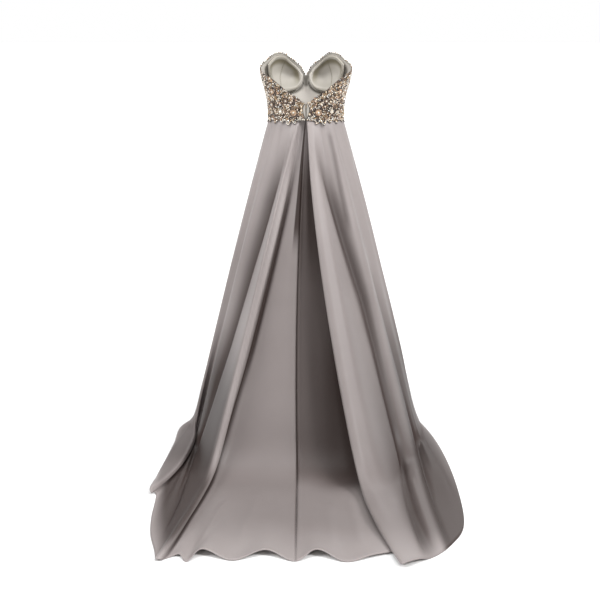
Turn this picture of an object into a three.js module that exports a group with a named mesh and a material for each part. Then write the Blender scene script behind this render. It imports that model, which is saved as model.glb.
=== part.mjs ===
// A strapless evening gown with a train, in millimetres, +Z up.
// +X is the wearer's right, +Y is the wearer's front, and the train runs out along -Y.
// Inside the group the floor is z = 0. The group's origin is the middle of the waist.
import * as THREE from "three";

// Driving sizes of the figure that the gown is cut for
const WAIST_HEIGHT = 1085; // waist seam over the floor, in heels
const WAIST_HALF_WIDTH = 127;
const WAIST_HALF_DEPTH = 91;

// Thickness of each kind of cloth, and the room between pieces
const SATIN = 1.8; // skirt satin with its backing
const BODICE_WALL = 2.4; // beaded net on boned satin
const LINING = 1;
const CUP_FOAM = 5;
const SEAM_GAP = 0.36; // between two pieces at a seam
const FLOOR_LIFT = 2.3; // top face of cloth that lies on the floor

// Where the layers of the bodice lie, measured out from the body's form
const BODICE_INSIDE = 0.9;
const BODICE_OUTSIDE = BODICE_INSIDE + BODICE_WALL;
const LINING_OUTSIDE = -1.2;
const LINING_INSIDE = LINING_OUTSIDE - LINING;

// Finishes
const SATIN_FINISH = { color: 0x9d9490, roughness: 0.45 };
const BEAD_FINISH = { color: 0xa8957c, roughness: 0.5 };
const LINING_FINISH = { color: 0xc8c1b6, roughness: 0.6 };

// Small helpers
const radians = THREE.MathUtils.degToRad;
const clamp = THREE.MathUtils.clamp;
const bell = (distance, spread) => Math.exp(-((distance / spread) ** 2));

// Turns rows of bare values into rows with names.
function table(columns, rows) {
  return rows.map((row) => Object.fromEntries(columns.map((name, i) => [name, row[i]])));
}

// A smooth curve through two columns of a table, read at one value of the first.
function readTable(rows, from, to, at) {
  const last = rows.length - 1;
  const x = clamp(at, rows[0][from], rows[last][from]);
  let i = 0;
  while (i < last - 1 && rows[i + 1][from] < x) i += 1;
  const value = (k) => rows[clamp(k, 0, last)][to];
  const place = (k) => rows[clamp(k, 0, last)][from];
  const slope = (k) => {
    const run = place(k + 1) - place(k - 1);
    return (value(k + 1) - value(k - 1)) / run;
  };
  const span = place(i + 1) - place(i);
  const t = (x - place(i)) / span;
  const rise = value(i + 1) - value(i);
  const start = slope(i) * span;
  const end = slope(i + 1) * span;
  return value(i) + t * (start + t * (3 * rise - 2 * start - end + t * (start + end - 2 * rise)));
}

// The body's form above the waist: one row for each level.
const BODY_LEVELS = table(
  ["height", "halfWidth", "back", "front"],
  [
    [0, WAIST_HALF_WIDTH, WAIST_HALF_DEPTH, WAIST_HALF_DEPTH],
    [41, 127.5, 91, 93],
    [81, 134, 93, 97],
    [108, 141, 96, 101],
    [134, 148, 98, 104],
    [161, 152, 100, 104],
    [200, 152.5, 100, 102],
    [240, 151, 98, 98],
  ],
);

// Below the waist the form opens with the skirt: millimetres out for each millimetre down.
const HIP_FLARE = { halfWidth: 0.27, back: 0.62, front: 0.3 };

// The two cups swell out of the front.
const CUP = {
  angle: 145,
  height: 148,
  swell: 42,
  sideways: 0.25, // share of the swell that also goes outward to the side
  spreadAngle: 27,
  spreadBelow: 40,
  spreadAbove: 57,
};

// Upper edge of the bodice, from the middle of the back round to the middle of the front.
const UPPER_EDGE = table(
  ["angle", "height"],
  [
    [0, 56],
    [6, 60],
    [14, 76],
    [28, 95],
    [37, 113],
    [50, 135],
    [70, 153],
    [84, 162],
    [96, 174],
    [114, 186],
    [126, 199],
    [135, 212],
    [146, 216],
    [153, 211],
    [160, 198],
    [167, 184],
    [173, 170],
    [176, 156],
    [180, 138],
  ],
);

// Angles run from 0 at the middle of the back, through 90 at the wearer's right. Both sides are alike.
const fromBack = (angle) => Math.abs(THREE.MathUtils.euclideanModulo(angle + 180, 360) - 180);
const upperEdge = (angle) => readTable(UPPER_EDGE, "angle", "height", fromBack(angle));

// A point of the body's form.
function bodyForm(angle, height) {
  const turn = radians(angle);
  const depth = Math.cos(turn) > 0 ? "back" : "front";
  const below = Math.max(0, -height);
  const width = readTable(BODY_LEVELS, "height", "halfWidth", height) + HIP_FLARE.halfWidth * below;
  const reach = readTable(BODY_LEVELS, "height", depth, height) + HIP_FLARE[depth] * below;
  const spread = height < CUP.height ? CUP.spreadBelow : CUP.spreadAbove;
  const cup = CUP.swell * bell(fromBack(angle) - CUP.angle, CUP.spreadAngle) * bell(height - CUP.height, spread);
  return new THREE.Vector3(
    (width + CUP.sideways * cup) * Math.sin(turn),
    -(reach + cup) * Math.cos(turn),
    WAIST_HEIGHT + height,
  );
}

// A point a little outside or inside the body's form, along its normal.
function bodyPoint(angle, height, offset) {
  const here = bodyForm(angle, height);
  const round = bodyForm(angle + 1, height).sub(bodyForm(angle - 1, height));
  const up = bodyForm(angle, height + 2).sub(bodyForm(angle, height - 2));
  const normal = round.cross(up).normalize();
  return here.addScaledVector(normal, offset);
}

// A closed wall between two grids of points. Rows run down and columns run counterclockwise from above.
function wall(outer, inner) {
  const rows = outer.length;
  const columns = outer[0].length;
  const positions = [];
  for (const grid of [outer, inner]) {
    for (const row of grid) {
      for (const point of row) positions.push(point.x, point.y, point.z);
    }
  }
  const index = [];
  const quad = (a, b, c, d) => index.push(a, b, c, a, c, d);
  const at = (side, r, c) => side * rows * columns + r * columns + c;
  for (let r = 0; r + 1 < rows; r += 1) {
    for (let c = 0; c + 1 < columns; c += 1) {
      quad(at(0, r, c), at(0, r + 1, c), at(0, r + 1, c + 1), at(0, r, c + 1));
      quad(at(1, r, c), at(1, r, c + 1), at(1, r + 1, c + 1), at(1, r + 1, c));
    }
  }
  for (let r = 0; r + 1 < rows; r += 1) {
    quad(at(0, r, 0), at(1, r, 0), at(1, r + 1, 0), at(0, r + 1, 0));
    quad(at(0, r, columns - 1), at(0, r + 1, columns - 1), at(1, r + 1, columns - 1), at(1, r, columns - 1));
  }
  for (let c = 0; c + 1 < columns; c += 1) {
    quad(at(0, 0, c), at(0, 0, c + 1), at(1, 0, c + 1), at(1, 0, c));
    quad(at(0, rows - 1, c), at(1, rows - 1, c), at(1, rows - 1, c + 1), at(0, rows - 1, c + 1));
  }
  const geometry = new THREE.BufferGeometry();
  geometry.setAttribute("position", new THREE.Float32BufferAttribute(positions, 3));
  geometry.setIndex(index);
  geometry.computeVertexNormals();
  return geometry;
}

function piece(name, geometry, finish) {
  const mesh = new THREE.Mesh(geometry, new THREE.MeshStandardMaterial({ ...finish, metalness: 0 }));
  mesh.name = name;
  return mesh;
}

// Skirt
// One row for each fold line that runs from the waist to the hem: where it leaves the waist, how far it
// is tucked in there, where it meets the floor, where it ends at the hem, how far it sways to the right
// and bows outward on the way down, how far it bends on the floor, how high it rises off the floor, how
// high the hem arches, and how much of touchY it only reaches late, near the floor.
const FOLD_COLUMNS = [
  "name",
  "angle",
  "tuck",
  "touchX",
  "touchY",
  "hemX",
  "hemY",
  "sway",
  "bow",
  "bend",
  "rise",
  "arch",
  "late",
];
const RIGHT_BACK_FOLDS = table(FOLD_COLUMNS, [
  ["centre back seam", 0, 23, -28, -520, -28, -1142, -14, 0, 0, 0, 0, 0],
  ["pleat floor 1", 2, 23, 18, -524, 28, -1112, -8, 0, 0, 0, 20, 0],
  ["pleat floor 2", 4, 23, 70, -524, 106, -1146, -8, -5, 0, 0, 0, 0],
  ["pleat floor 3", 7, 21, 125, -522, 180, -1118, -8, -10, 0, 0, 7, 0],
  ["pleat tuck", 10.5, 17, 187, -524, 288, -1075, -10, -15, 0, 2, 0, 0],
  ["pleat return", 8, 10.5, 190, -590, 288, -1110, -12, -4, 0, 7, 3, 0],
  ["pleat roll", 1.4, 6, 163, -640, 248, -1178, -24, 0, -12, 14, 8, 0],
  ["pleat edge", 2.2, 0, 167, -654, 252, -1185, -24, 0, -12, 24, 14, 0],
  ["panel ridge", 7, 0, 225, -620, 296, -1150, -14, 6, 0, 24, 10, 0],
  ["panel valley", 17, 1, 302, -440, 335, -1122, 0, -22, -14, 3, 0, 0],
  ["side crest", 33, 0, 350, -330, 368, -1088, 0, 8, -10, 16, 0, 0],
  ["side groove", 47, 0, 381, -215, 399, -1039, 0, -4, -12, 2, 0, 0],
  ["train edge 4", 57, 0, 390, -140, 445, -942, 0, 7, 6, 9, 0, 0],
  ["train edge 3", 66, 0, 396, -90, 465, -707, 0, 9, 0, 5, 0, 0],
  ["train edge 2", 75, 0, 398, -50, 462, -400, 0, 10, 0, 3, 0, 0],
  ["train edge 1", 83, 0, 398, -20, 437, -150, 0, 10, 0, 2, 0, 0],
  ["right side seam", 92, 0, 396, 25, 399, 25, 0, 10, 0, 0, 0, 0],
]);
const FRONT_FOLDS = table(FOLD_COLUMNS, [
  ["front crest 1", 106, 0, 372, 125, 376, 126, 0, 8, 0, 0, 0, 0],
  ["front crest 2", 120, 0, 342, 205, 345, 208, 0, 9, 0, 0, 0, 0],
  ["front dip 1", 134, 0, 262, 262, 264, 264, 0, -4, 0, 0, 0, 0],
  ["front crest 3", 147, 0, 205, 334, 206, 337, 0, 9, 0, 0, 0, 0],
  ["front dip 2", 160, 0, 112, 336, 112, 339, 0, -4, 0, 0, 0, 0],
  ["front crest 4", 173, 0, 38, 374, 38, 378, 0, 8, 0, 0, 0, 0],
  ["front dip 3", 186, 0, -46, 356, -46, 359, 0, 0, 0, 0, 0, 0],
  ["front crest 5", 199, 0, -128, 362, -129, 365, 0, 8, 0, 0, 0, 0],
  ["front dip 4", 212, 0, -196, 300, -198, 302, 0, -4, 0, 0, 0, 0],
  ["front crest 6", 226, 0, -292, 272, -294, 275, 0, 8, 0, 0, 0, 0],
  ["front dip 5", 240, 0, -334, 185, -337, 187, 0, 0, 0, 0, 0, 0],
  ["front crest 7", 254, 0, -382, 115, -386, 117, 0, 8, 0, 0, 0, 0],
]);
const LEFT_BACK_FOLDS = table(FOLD_COLUMNS, [
  ["left side seam", 266, 0, -398, 40, -401, 40, 0, 10, 0, 0, 0, 0],
  ["flap 1", 275, 0, -401, 10, -446, -76, 0, 9, 0, 2, 0, 0],
  ["flap 2", 282, 0, -403, -10, -452, -250, 0, 9, 0, 4, 0, 0],
  ["flap 3", 288, 0, -404, -25, -470, -556, 0, 8, 0, 11, 6, 0],
  ["flap edge", 293, 0, -402, -56, -473, -695, 0, 8, 47, 24, 17, -18],
  ["flap roll", 295, 0.5, -396, -64, -468, -702, 0, 7, 47, 14, 10, -13],
  ["flap return", 298, 1, -391, -50, -460, -684, 0, 5, 22, 7, 4, 14],
  ["flap tuck", 301, 1, -384, -38, -456, -690, 0, 3, 6, 2, 0, 39],
  ["lower layer", 307, 0, -379, -90, -447, -860, 0, 5, 12, 0, 0, 0],
  ["lower crest", 316, 0, -377, -150, -434, -980, 0, 8, 10, 4, 0, 0],
  ["left valley", 334, 1, -360, -300, -409, -1080, 0, -20, 2, 1, 0, 0],
  ["left ridge", 346, 0, -300, -560, -395, -1142, 6, 8, 14, 26, 0, 0],
  ["ridge foot", 350, 4, -282, -532, -368, -1122, 4, -2, 8, 10, 0, 0],
  ["pleat floor 4", 352, 12, -262, -518, -340, -1112, 0, -8, 0, 0, 6, 0],
  ["pleat floor 5", 354, 17, -235, -514, -317, -1145, -4, -8, 0, 0, 0, 0],
  ["pleat floor 6", 356, 20, -190, -512, -280, -1110, -6, -6, 0, 0, 20, 0],
  ["pleat floor 7", 357, 22, -140, -514, -196, -1137, -8, -4, 0, 0, 0, 0],
  ["pleat floor 8", 358.5, 23, -80, -516, -108, -1108, -12, 0, 0, 0, 17, 0],
]);
const FOLDS = [...RIGHT_BACK_FOLDS, ...FRONT_FOLDS, ...LEFT_BACK_FOLDS];

const FALL_LEVELS = 13; // rows of points from the waist to the floor
const FLOOR_LEVELS = 8; // rows of points from there to the hem
const FALL_EASE = 1.25; // draws the rows of the fall together towards the floor
const STEPS_PER_FOLD = 2; // columns of points from one fold line to the next
const FLOOR_BREAK = 110; // how far from the floor the cloth starts to turn
const DENSE = 48; // points on each stretch of a fold line before it is spaced out evenly

const LATE_POWER = 3; // how late a fold line takes up its late share of touchY
const RISE_AT_TOUCH = 0.7; // share of a fold's rise that it has where it meets the floor
const ARCH_FROM = 0.55; // share of the floor run at which an arch of the hem starts
const BREAK_SHARE = 0.75; // largest share of the floor run that the break takes
const BREAK_STEPS = 12;

// The route of one fold line: down through the air, round the break and along the floor.
function foldRoute(fold) {
  const turn = radians(fold.angle);
  const waist = new THREE.Vector3(
    (WAIST_HALF_WIDTH - fold.tuck) * Math.sin(turn),
    -(WAIST_HALF_DEPTH - fold.tuck) * Math.cos(turn),
    WAIST_HEIGHT,
  );
  const touch = new THREE.Vector3(fold.touchX, fold.touchY, FLOOR_LIFT + RISE_AT_TOUCH * fold.rise);
  const hem = new THREE.Vector3(fold.hemX, fold.hemY, FLOOR_LIFT);
  const outward = new THREE.Vector3(touch.x - waist.x, touch.y - waist.y, 0).normalize();
  const fall = [];
  const floor = [];
  for (let i = 0; i <= DENSE; i += 1) {
    const s = i / DENSE;
    const middle = 4 * s * (1 - s);
    const down = waist.clone().lerp(touch, s).addScaledVector(outward, fold.bow * middle);
    down.x += fold.sway * middle;
    down.y -= fold.late * (s - s ** LATE_POWER);
    fall.push(down);
    const along = touch.clone().lerp(hem, s);
    along.x += fold.bend * middle;
    const crest = RISE_AT_TOUCH + (1 - RISE_AT_TOUCH) * Math.sin(Math.PI * s);
    const arch = fold.arch * clamp((s - ARCH_FROM) / (1 - ARCH_FROM), 0, 1) ** 2;
    along.z = FLOOR_LIFT + fold.rise * crest * (1 - s ** 3) + arch;
    floor.push(along);
  }
  const cut = Math.min(FLOOR_BREAK, BREAK_SHARE * hem.distanceTo(touch));
  const before = fall.filter((point) => point.distanceTo(touch) > cut);
  const after = floor.filter((point) => point.distanceTo(touch) > cut);
  const bend = new THREE.QuadraticBezierCurve3(before[before.length - 1], touch, after[0]).getPoints(BREAK_STEPS);
  const middle = BREAK_STEPS / 2;
  return {
    fall: [...before, ...bend.slice(1, middle + 1)],
    floor: [...bend.slice(middle, -1), ...after],
  };
}

// Points along a route, at each of the given shares of its length.
function pointsAt(route, shares) {
  const lengths = [0];
  for (let i = 1; i < route.length; i += 1) lengths.push(lengths[i - 1] + route[i].distanceTo(route[i - 1]));
  const total = lengths[lengths.length - 1];
  let k = 1;
  return shares.map((share) => {
    while (k < route.length - 1 && lengths[k] < share * total) k += 1;
    const between = (share * total - lengths[k - 1]) / (lengths[k] - lengths[k - 1]);
    return route[k - 1].clone().lerp(route[k], clamp(between, 0, 1));
  });
}

// The outer face of the whole skirt as a closed grid: rows from waist to hem, columns from fold to fold.
function skirtFace() {
  const even = (count) => Array.from({ length: count }, (_, i) => i / (count - 1));
  const fallShares = even(FALL_LEVELS).map((s) => 1 - (1 - s) ** FALL_EASE);
  const floorShares = even(FLOOR_LEVELS + 1);
  const lines = FOLDS.map((fold) => {
    const route = foldRoute(fold);
    return [...pointsAt(route.fall, fallShares), ...pointsAt(route.floor, floorShares).slice(1)];
  });
  return lines[0].map((_, level) => {
    const ring = new THREE.CatmullRomCurve3(lines.map((line) => line[level]), true, "centripetal");
    return Array.from({ length: FOLDS.length * STEPS_PER_FOLD }, (_, i) => {
      const point = ring.getPoint(i / (FOLDS.length * STEPS_PER_FOLD));
      point.z = Math.max(point.z, FLOOR_LIFT);
      return point;
    });
  });
}

const SHARPEST = 0.6; // limits how far the inside of a sharp fold moves away from its outside

// The way from the outer face of the cloth to its inner face at one point. It is square to the line that
// runs down through the point, and it halves the angle between the cloth on both sides of that line.
function insideOf(face, level, column) {
  const columns = face[0].length;
  const here = face[level][column];
  const above = face[Math.max(level - 1, 0)][column];
  const below = face[Math.min(level + 1, face.length - 1)][column];
  const down = below.clone().sub(above).normalize();
  const across = (from, to) => {
    const step = to.clone().sub(from);
    return step.addScaledVector(down, -step.dot(down)).normalize();
  };
  const arrive = across(face[level][(column + columns - 1) % columns], here);
  const leave = across(here, face[level][(column + 1) % columns]);
  const round = arrive.add(leave).multiplyScalar(0.5);
  const reach = SATIN / Math.max(round.length(), SHARPEST);
  return round.cross(down).setLength(reach);
}

// One piece of the skirt, from one fold line to another, with half a seam gap taken off each end.
function skirtPiece(face, { firstFold, lastFold, levels, step }) {
  const columns = face[0].length;
  const first = firstFold * STEPS_PER_FOLD;
  const last = lastFold * STEPS_PER_FOLD;
  const outer = [];
  const inner = [];
  for (const level of levels) {
    const row = face[level];
    const outerRow = [];
    const innerRow = [];
    for (let c = first; c <= last; c += step) {
      const column = c % columns;
      const point = row[column].clone();
      if (c === first || c === last) {
        const next = row[(c === last ? c - 1 : c + 1) % columns];
        point.add(next.clone().sub(point).setLength(SEAM_GAP / 2));
      }
      outerRow.push(point);
      const inside = point.clone().add(insideOf(face, level, column));
      inside.z = Math.max(inside.z, FLOOR_LIFT - SATIN);
      innerRow.push(inside);
    }
    outer.push(outerRow);
    inner.push(innerRow);
  }
  return wall(outer, inner);
}

function makeSkirt() {
  const face = skirtFace();
  const rightSeam = RIGHT_BACK_FOLDS.length - 1;
  const leftSeam = RIGHT_BACK_FOLDS.length + FRONT_FOLDS.length;
  const allLevels = face.map((_, level) => level);
  const back = { levels: allLevels, step: 1 };
  // The front ends where it meets the floor, so its rows there are left out but for the hem.
  const front = { levels: [...allLevels.slice(0, FALL_LEVELS), allLevels.length - 1], step: 1 };
  const cut = (name, shape) => piece(name, skirtPiece(face, shape), SATIN_FINISH);
  return [
    cut("skirt_back_right", { ...back, firstFold: 0, lastFold: rightSeam }),
    cut("skirt_front", { ...front, firstFold: rightSeam, lastFold: leftSeam }),
    cut("skirt_back_left", { ...back, firstFold: leftSeam, lastFold: FOLDS.length }),
  ];
}

// Bodice
const CLOSURE_ANGLE = 6.5; // half the width of the centre back closure
const SIDE_SEAM_ANGLE = 92;
const CUP_SEAM_ANGLE = 146;
const WAIST_COVER = 2; // how far the bodice comes down over the top of the skirt

// Bead motifs that stand out of the back: one row for each, mirrored to the other side.
const MOTIFS = table(
  ["angle", "height", "radius", "rise"],
  [
    [19, 24, 15, 3],
    [31, 62, 11, 2.4],
    [42, 27, 9, 2.2],
    [55, 92, 12, 2.6],
    [62, 48, 15, 3],
    [74, 118, 10, 2.2],
    [80, 22, 11, 2.4],
    [84, 78, 10, 2.2],
  ],
);
// Bead drops that hang below the waist: one row for each, mirrored too.
const DROPS = table(
  ["angle", "reach", "spread"],
  [
    [17, 12, 3],
    [27, 16, 3.4],
    [38, 9, 3],
    [52, 11, 3.4],
    [68, 8, 3.2],
    [83, 10, 3.2],
  ],
);
const BEAD_PITCH = 11; // spacing of the even beading between the motifs
const BEAD_RISE = 0.8;
const BEAD_FADE = 5; // one over the share of the panel's height in which the beading dies out at the edge

function beadRelief(angle, height, share, down) {
  const across = radians(Math.abs(angle)) * WAIST_HALF_WIDTH;
  const even = Math.sin((across / BEAD_PITCH) * Math.PI) ** 2 * Math.sin((height / BEAD_PITCH) * Math.PI) ** 2;
  const domes = MOTIFS.map((motif) => {
    const away = Math.hypot(across - radians(motif.angle) * WAIST_HALF_WIDTH, height - motif.height);
    return motif.rise * Math.sqrt(Math.max(0, 1 - (away / motif.radius) ** 2));
  });
  return Math.max(BEAD_RISE * even, ...domes) * clamp(BEAD_FADE * down, 0, 1);
}

function lowerEdge(angle) {
  const drops = DROPS.map((drop) => drop.reach * bell(Math.abs(angle) - drop.angle, drop.spread));
  return -WAIST_COVER - Math.max(...drops);
}

// Even angles from one seam to the next, with half a seam gap taken off each end.
function panelAngles(from, to, columns) {
  const half = THREE.MathUtils.radToDeg(SEAM_GAP / 2 / WAIST_HALF_WIDTH);
  const share = (c) => c / columns;
  return Array.from({ length: columns + 1 }, (_, c) => THREE.MathUtils.lerp(from + half, to - half, share(c)));
}

// One panel of the bodice, with its layers measured out from the body's form.
function bodicePanel({ angles, rows, top, bottom, outside, inside, relief, standOff }) {
  const columns = angles.length - 1;
  const outer = [];
  const inner = [];
  for (let r = 0; r <= rows; r += 1) {
    const outerRow = [];
    const innerRow = [];
    for (let c = 0; c <= columns; c += 1) {
      const angle = angles[c];
      const height = THREE.MathUtils.lerp(top(angle), bottom(angle), r / rows);
      const raised = relief ? relief(angle, height, c / columns, r / rows) : 0;
      const away = standOff ? standOff(angle, height) : 0;
      outerRow.push(bodyPoint(angle, height, outside + raised - away));
      innerRow.push(bodyPoint(angle, height, inside - away));
    }
    outer.push(outerRow);
    inner.push(innerRow);
  }
  return wall(outer, inner);
}

const SIDE_FRONT_COLUMNS = 8;
const CENTRE_FRONT_COLUMNS = 14;
const BACK_COLUMNS = 22;
const PANEL_ROWS = 10;
const SIDE_FRONT_ANGLES = panelAngles(SIDE_SEAM_ANGLE, CUP_SEAM_ANGLE, SIDE_FRONT_COLUMNS);
const CENTRE_FRONT_ANGLES = panelAngles(CUP_SEAM_ANGLE, 360 - CUP_SEAM_ANGLE, CENTRE_FRONT_COLUMNS);
const BACK_ANGLES = panelAngles(CLOSURE_ANGLE, SIDE_SEAM_ANGLE, BACK_COLUMNS);
const mirrored = (angles) => angles.map((angle) => -angle).reverse();

function makeBodice() {
  const shell = { rows: PANEL_ROWS, top: upperEdge, outside: BODICE_OUTSIDE, inside: BODICE_INSIDE };
  const back = { ...shell, bottom: lowerEdge, relief: beadRelief };
  const front = { ...shell, bottom: () => -WAIST_COVER };
  const panel = (name, shape, angles) => piece(name, bodicePanel({ ...shape, angles }), BEAD_FINISH);
  return [
    panel("bodice_back_right", back, BACK_ANGLES),
    panel("bodice_side_front_right", front, SIDE_FRONT_ANGLES),
    panel("bodice_centre_front", front, CENTRE_FRONT_ANGLES),
    panel("bodice_side_front_left", front, mirrored(SIDE_FRONT_ANGLES)),
    panel("bodice_back_left", back, mirrored(BACK_ANGLES)),
  ];
}

// Lining of the front, from side seam to side seam, on the same lines as the panels outside it
const LINING_BELOW_EDGE = 5;
const LINING_ABOVE_WAIST = 1;

function makeLining() {
  const otherSide = SIDE_FRONT_ANGLES.map((angle) => 360 - angle).reverse();
  const shape = {
    angles: [...SIDE_FRONT_ANGLES, ...CENTRE_FRONT_ANGLES.slice(1, -1), ...otherSide],
    rows: PANEL_ROWS,
    top: (angle) => upperEdge(angle) - LINING_BELOW_EDGE,
    bottom: () => LINING_ABOVE_WAIST,
    outside: LINING_OUTSIDE,
    inside: LINING_INSIDE,
  };
  return [piece("front_lining", bodicePanel(shape), LINING_FINISH)];
}

// Foam cups inside the lining. They hang from the upper edge, and their rims stand off the lining.
const PAD = {
  angle: 144,
  halfSpan: 33,
  middle: 150,
  lowest: 82,
  belowEdge: 6,
  least: 8,
  standOff: 11,
  standOffPower: 3, // higher keeps the stand-off nearer to the rim
  squareness: 3, // 2 gives the lower rim the form of an ellipse, and more gives it fuller corners
};
const PAD_CLEARANCE = 3;
const PAD_COLUMNS = 12;
const PAD_ROWS = 8;

function padBottom(angle) {
  const across = clamp((fromBack(angle) - PAD.angle) / PAD.halfSpan, -1, 1);
  const fullness = (1 - Math.abs(across) ** PAD.squareness) ** (1 / PAD.squareness);
  const curve = PAD.middle - (PAD.middle - PAD.lowest) * fullness;
  return Math.min(curve, padTop(angle) - PAD.least);
}

const padTop = (angle) => upperEdge(angle) - PAD.belowEdge;

function padStandOff(angle, height) {
  const across = (fromBack(angle) - PAD.angle) / PAD.halfSpan;
  const down = Math.max(0, PAD.middle - height) / (PAD.middle - PAD.lowest);
  return PAD.standOff * Math.min(1, Math.hypot(across, down)) ** PAD.standOffPower;
}

function makePads() {
  const angles = panelAngles(PAD.angle - PAD.halfSpan, PAD.angle + PAD.halfSpan, PAD_COLUMNS);
  const shape = {
    rows: PAD_ROWS,
    top: padTop,
    bottom: padBottom,
    outside: LINING_INSIDE - PAD_CLEARANCE,
    inside: LINING_INSIDE - PAD_CLEARANCE - CUP_FOAM,
    standOff: padStandOff,
  };
  return [
    piece("cup_right", bodicePanel({ ...shape, angles }), LINING_FINISH),
    piece("cup_left", bodicePanel({ ...shape, angles: mirrored(angles) }), LINING_FINISH),
  ];
}

// Centre back closure: two satin lips over a zip tape
const LIP_TOP_DROP = 3;
const LIP_RISE = 2.4;
const LIP_WALL = 1.5;
const LIP_COLUMNS = 4;
const LIP_ROWS = 8;
const TAPE_HALF_ANGLE = 4.6;
const TAPE_TOP_DROP = 6;
const TAPE_ROWS = 5;

function makeClosure() {
  const swell = (angle, height, across, down) => LIP_RISE * Math.sin(Math.PI * across) * Math.sin(Math.PI * down);
  const angles = panelAngles(0, CLOSURE_ANGLE, LIP_COLUMNS);
  const lip = {
    rows: LIP_ROWS,
    top: (angle) => upperEdge(angle) - LIP_TOP_DROP,
    bottom: () => -WAIST_COVER,
    outside: BODICE_INSIDE + LIP_WALL,
    inside: BODICE_INSIDE,
    relief: swell,
  };
  const tape = {
    angles: panelAngles(-TAPE_HALF_ANGLE, TAPE_HALF_ANGLE, 2 * LIP_COLUMNS),
    rows: TAPE_ROWS,
    top: (angle) => upperEdge(angle) - TAPE_TOP_DROP,
    bottom: () => LINING_ABOVE_WAIST,
    outside: LINING_OUTSIDE,
    inside: LINING_INSIDE,
  };
  return [
    piece("closure_lip_right", bodicePanel({ ...lip, angles }), SATIN_FINISH),
    piece("closure_lip_left", bodicePanel({ ...lip, angles: mirrored(angles) }), SATIN_FINISH),
    piece("zip_tape", bodicePanel(tape), LINING_FINISH),
  ];
}

// The gown, moved down so that the middle of the waist is at the origin
const gown = new THREE.Group();
const standing = new THREE.Group();
standing.add(...makeBodice(), ...makeLining(), ...makePads(), ...makeClosure(), ...makeSkirt());
standing.position.z = -WAIST_HEIGHT;
gown.add(standing);

export default gown;
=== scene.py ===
# %% [markdown]
# # A strapless evening gown with a train
#
# This lesson dresses a packed set of plain solids as a real gown: satin skirt, beaded bodice, lining and
# cups. The scene is in metres. The tables of the pattern are in millimetres and degrees, and MM turns them
# into metres. The origin is the middle of the waist, +X is the wearer's right, +Y is the wearer's front,
# and the train runs out along -Y. The solids come in first and stay where they are, so each finished piece
# can be set in the place of the solid that it stands for.

import math

import bpy
import numpy as np
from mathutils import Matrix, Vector


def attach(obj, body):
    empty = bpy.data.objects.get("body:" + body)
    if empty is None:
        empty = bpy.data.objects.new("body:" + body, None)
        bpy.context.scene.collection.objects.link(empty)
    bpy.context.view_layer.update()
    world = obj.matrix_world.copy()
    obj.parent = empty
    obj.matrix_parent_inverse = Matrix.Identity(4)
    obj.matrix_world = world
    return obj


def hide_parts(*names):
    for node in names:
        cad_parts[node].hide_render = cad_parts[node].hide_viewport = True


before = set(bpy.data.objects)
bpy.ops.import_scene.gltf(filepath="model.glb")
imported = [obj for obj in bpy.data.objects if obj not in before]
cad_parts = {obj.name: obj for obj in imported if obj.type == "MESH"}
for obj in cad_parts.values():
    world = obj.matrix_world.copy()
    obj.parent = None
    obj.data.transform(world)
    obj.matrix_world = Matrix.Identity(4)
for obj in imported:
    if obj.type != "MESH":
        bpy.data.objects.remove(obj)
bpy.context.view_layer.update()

# %% [markdown]
# ## Camera
#
# The gown is seen square from the back, from a little above its upper edge and tilted down, so the train
# opens out on the floor. A wide lens close by would swell the train. A long lens far away keeps the waist
# and the train in the proportions that the eye knows.

# %% Camera
MM = 0.001
WAIST_HEIGHT = 1.085
CAMERA_BACK = 3.9
CAMERA_OVER_FLOOR = 1.35
CAMERA_PITCH = 13.03
LENS_LENGTH = 67.8
SENSOR_WIDTH = 36
SIDE_SHIFT = -0.01

camera = bpy.data.objects.new("camera", bpy.data.cameras.new("camera"))
bpy.context.scene.collection.objects.link(camera)
bpy.context.scene.camera = camera
camera.location = (0, -CAMERA_BACK, CAMERA_OVER_FLOOR - WAIST_HEIGHT)
camera.rotation_euler = (math.radians(90 - CAMERA_PITCH), 0, 0)
camera.data.sensor_width = SENSOR_WIDTH
camera.data.lens = LENS_LENGTH
camera.data.shift_x = SIDE_SHIFT
print("camera at", list(camera.location))

# %% [markdown]
# ## Floor and light
#
# Satin shows its folds only when one side of them is brighter than the other. Of five soft lights, two
# stand far out to the sides and graze the cloth. The right one is the stronger, so the right edge of the
# pleat throws its shade into the pleat. The other three, a pale floor and a sky that is white at the
# horizon and dim above keep the rest from going black. One even dome of light would be simpler, but it
# would flatten the folds.

# %% Floor
def plain_material(name, colour, roughness):
    material = bpy.data.materials.new(name)
    material.use_nodes = True
    shader = material.node_tree.nodes["Principled BSDF"]
    shader.inputs["Base Color"].default_value = (*colour, 1)
    shader.inputs["Roughness"].default_value = roughness
    return material


FLOOR_SIZE = 600
FLOOR_WHITE = (0.9, 0.9, 0.9)
bpy.ops.mesh.primitive_plane_add(size=FLOOR_SIZE, location=(0, 0, -WAIST_HEIGHT))
floor = bpy.context.object
floor.name = "floor"
floor.data.materials.append(plain_material("floor_paint", FLOOR_WHITE, 1.0))
print("floor at", round(floor.location.z, 3))

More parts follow.
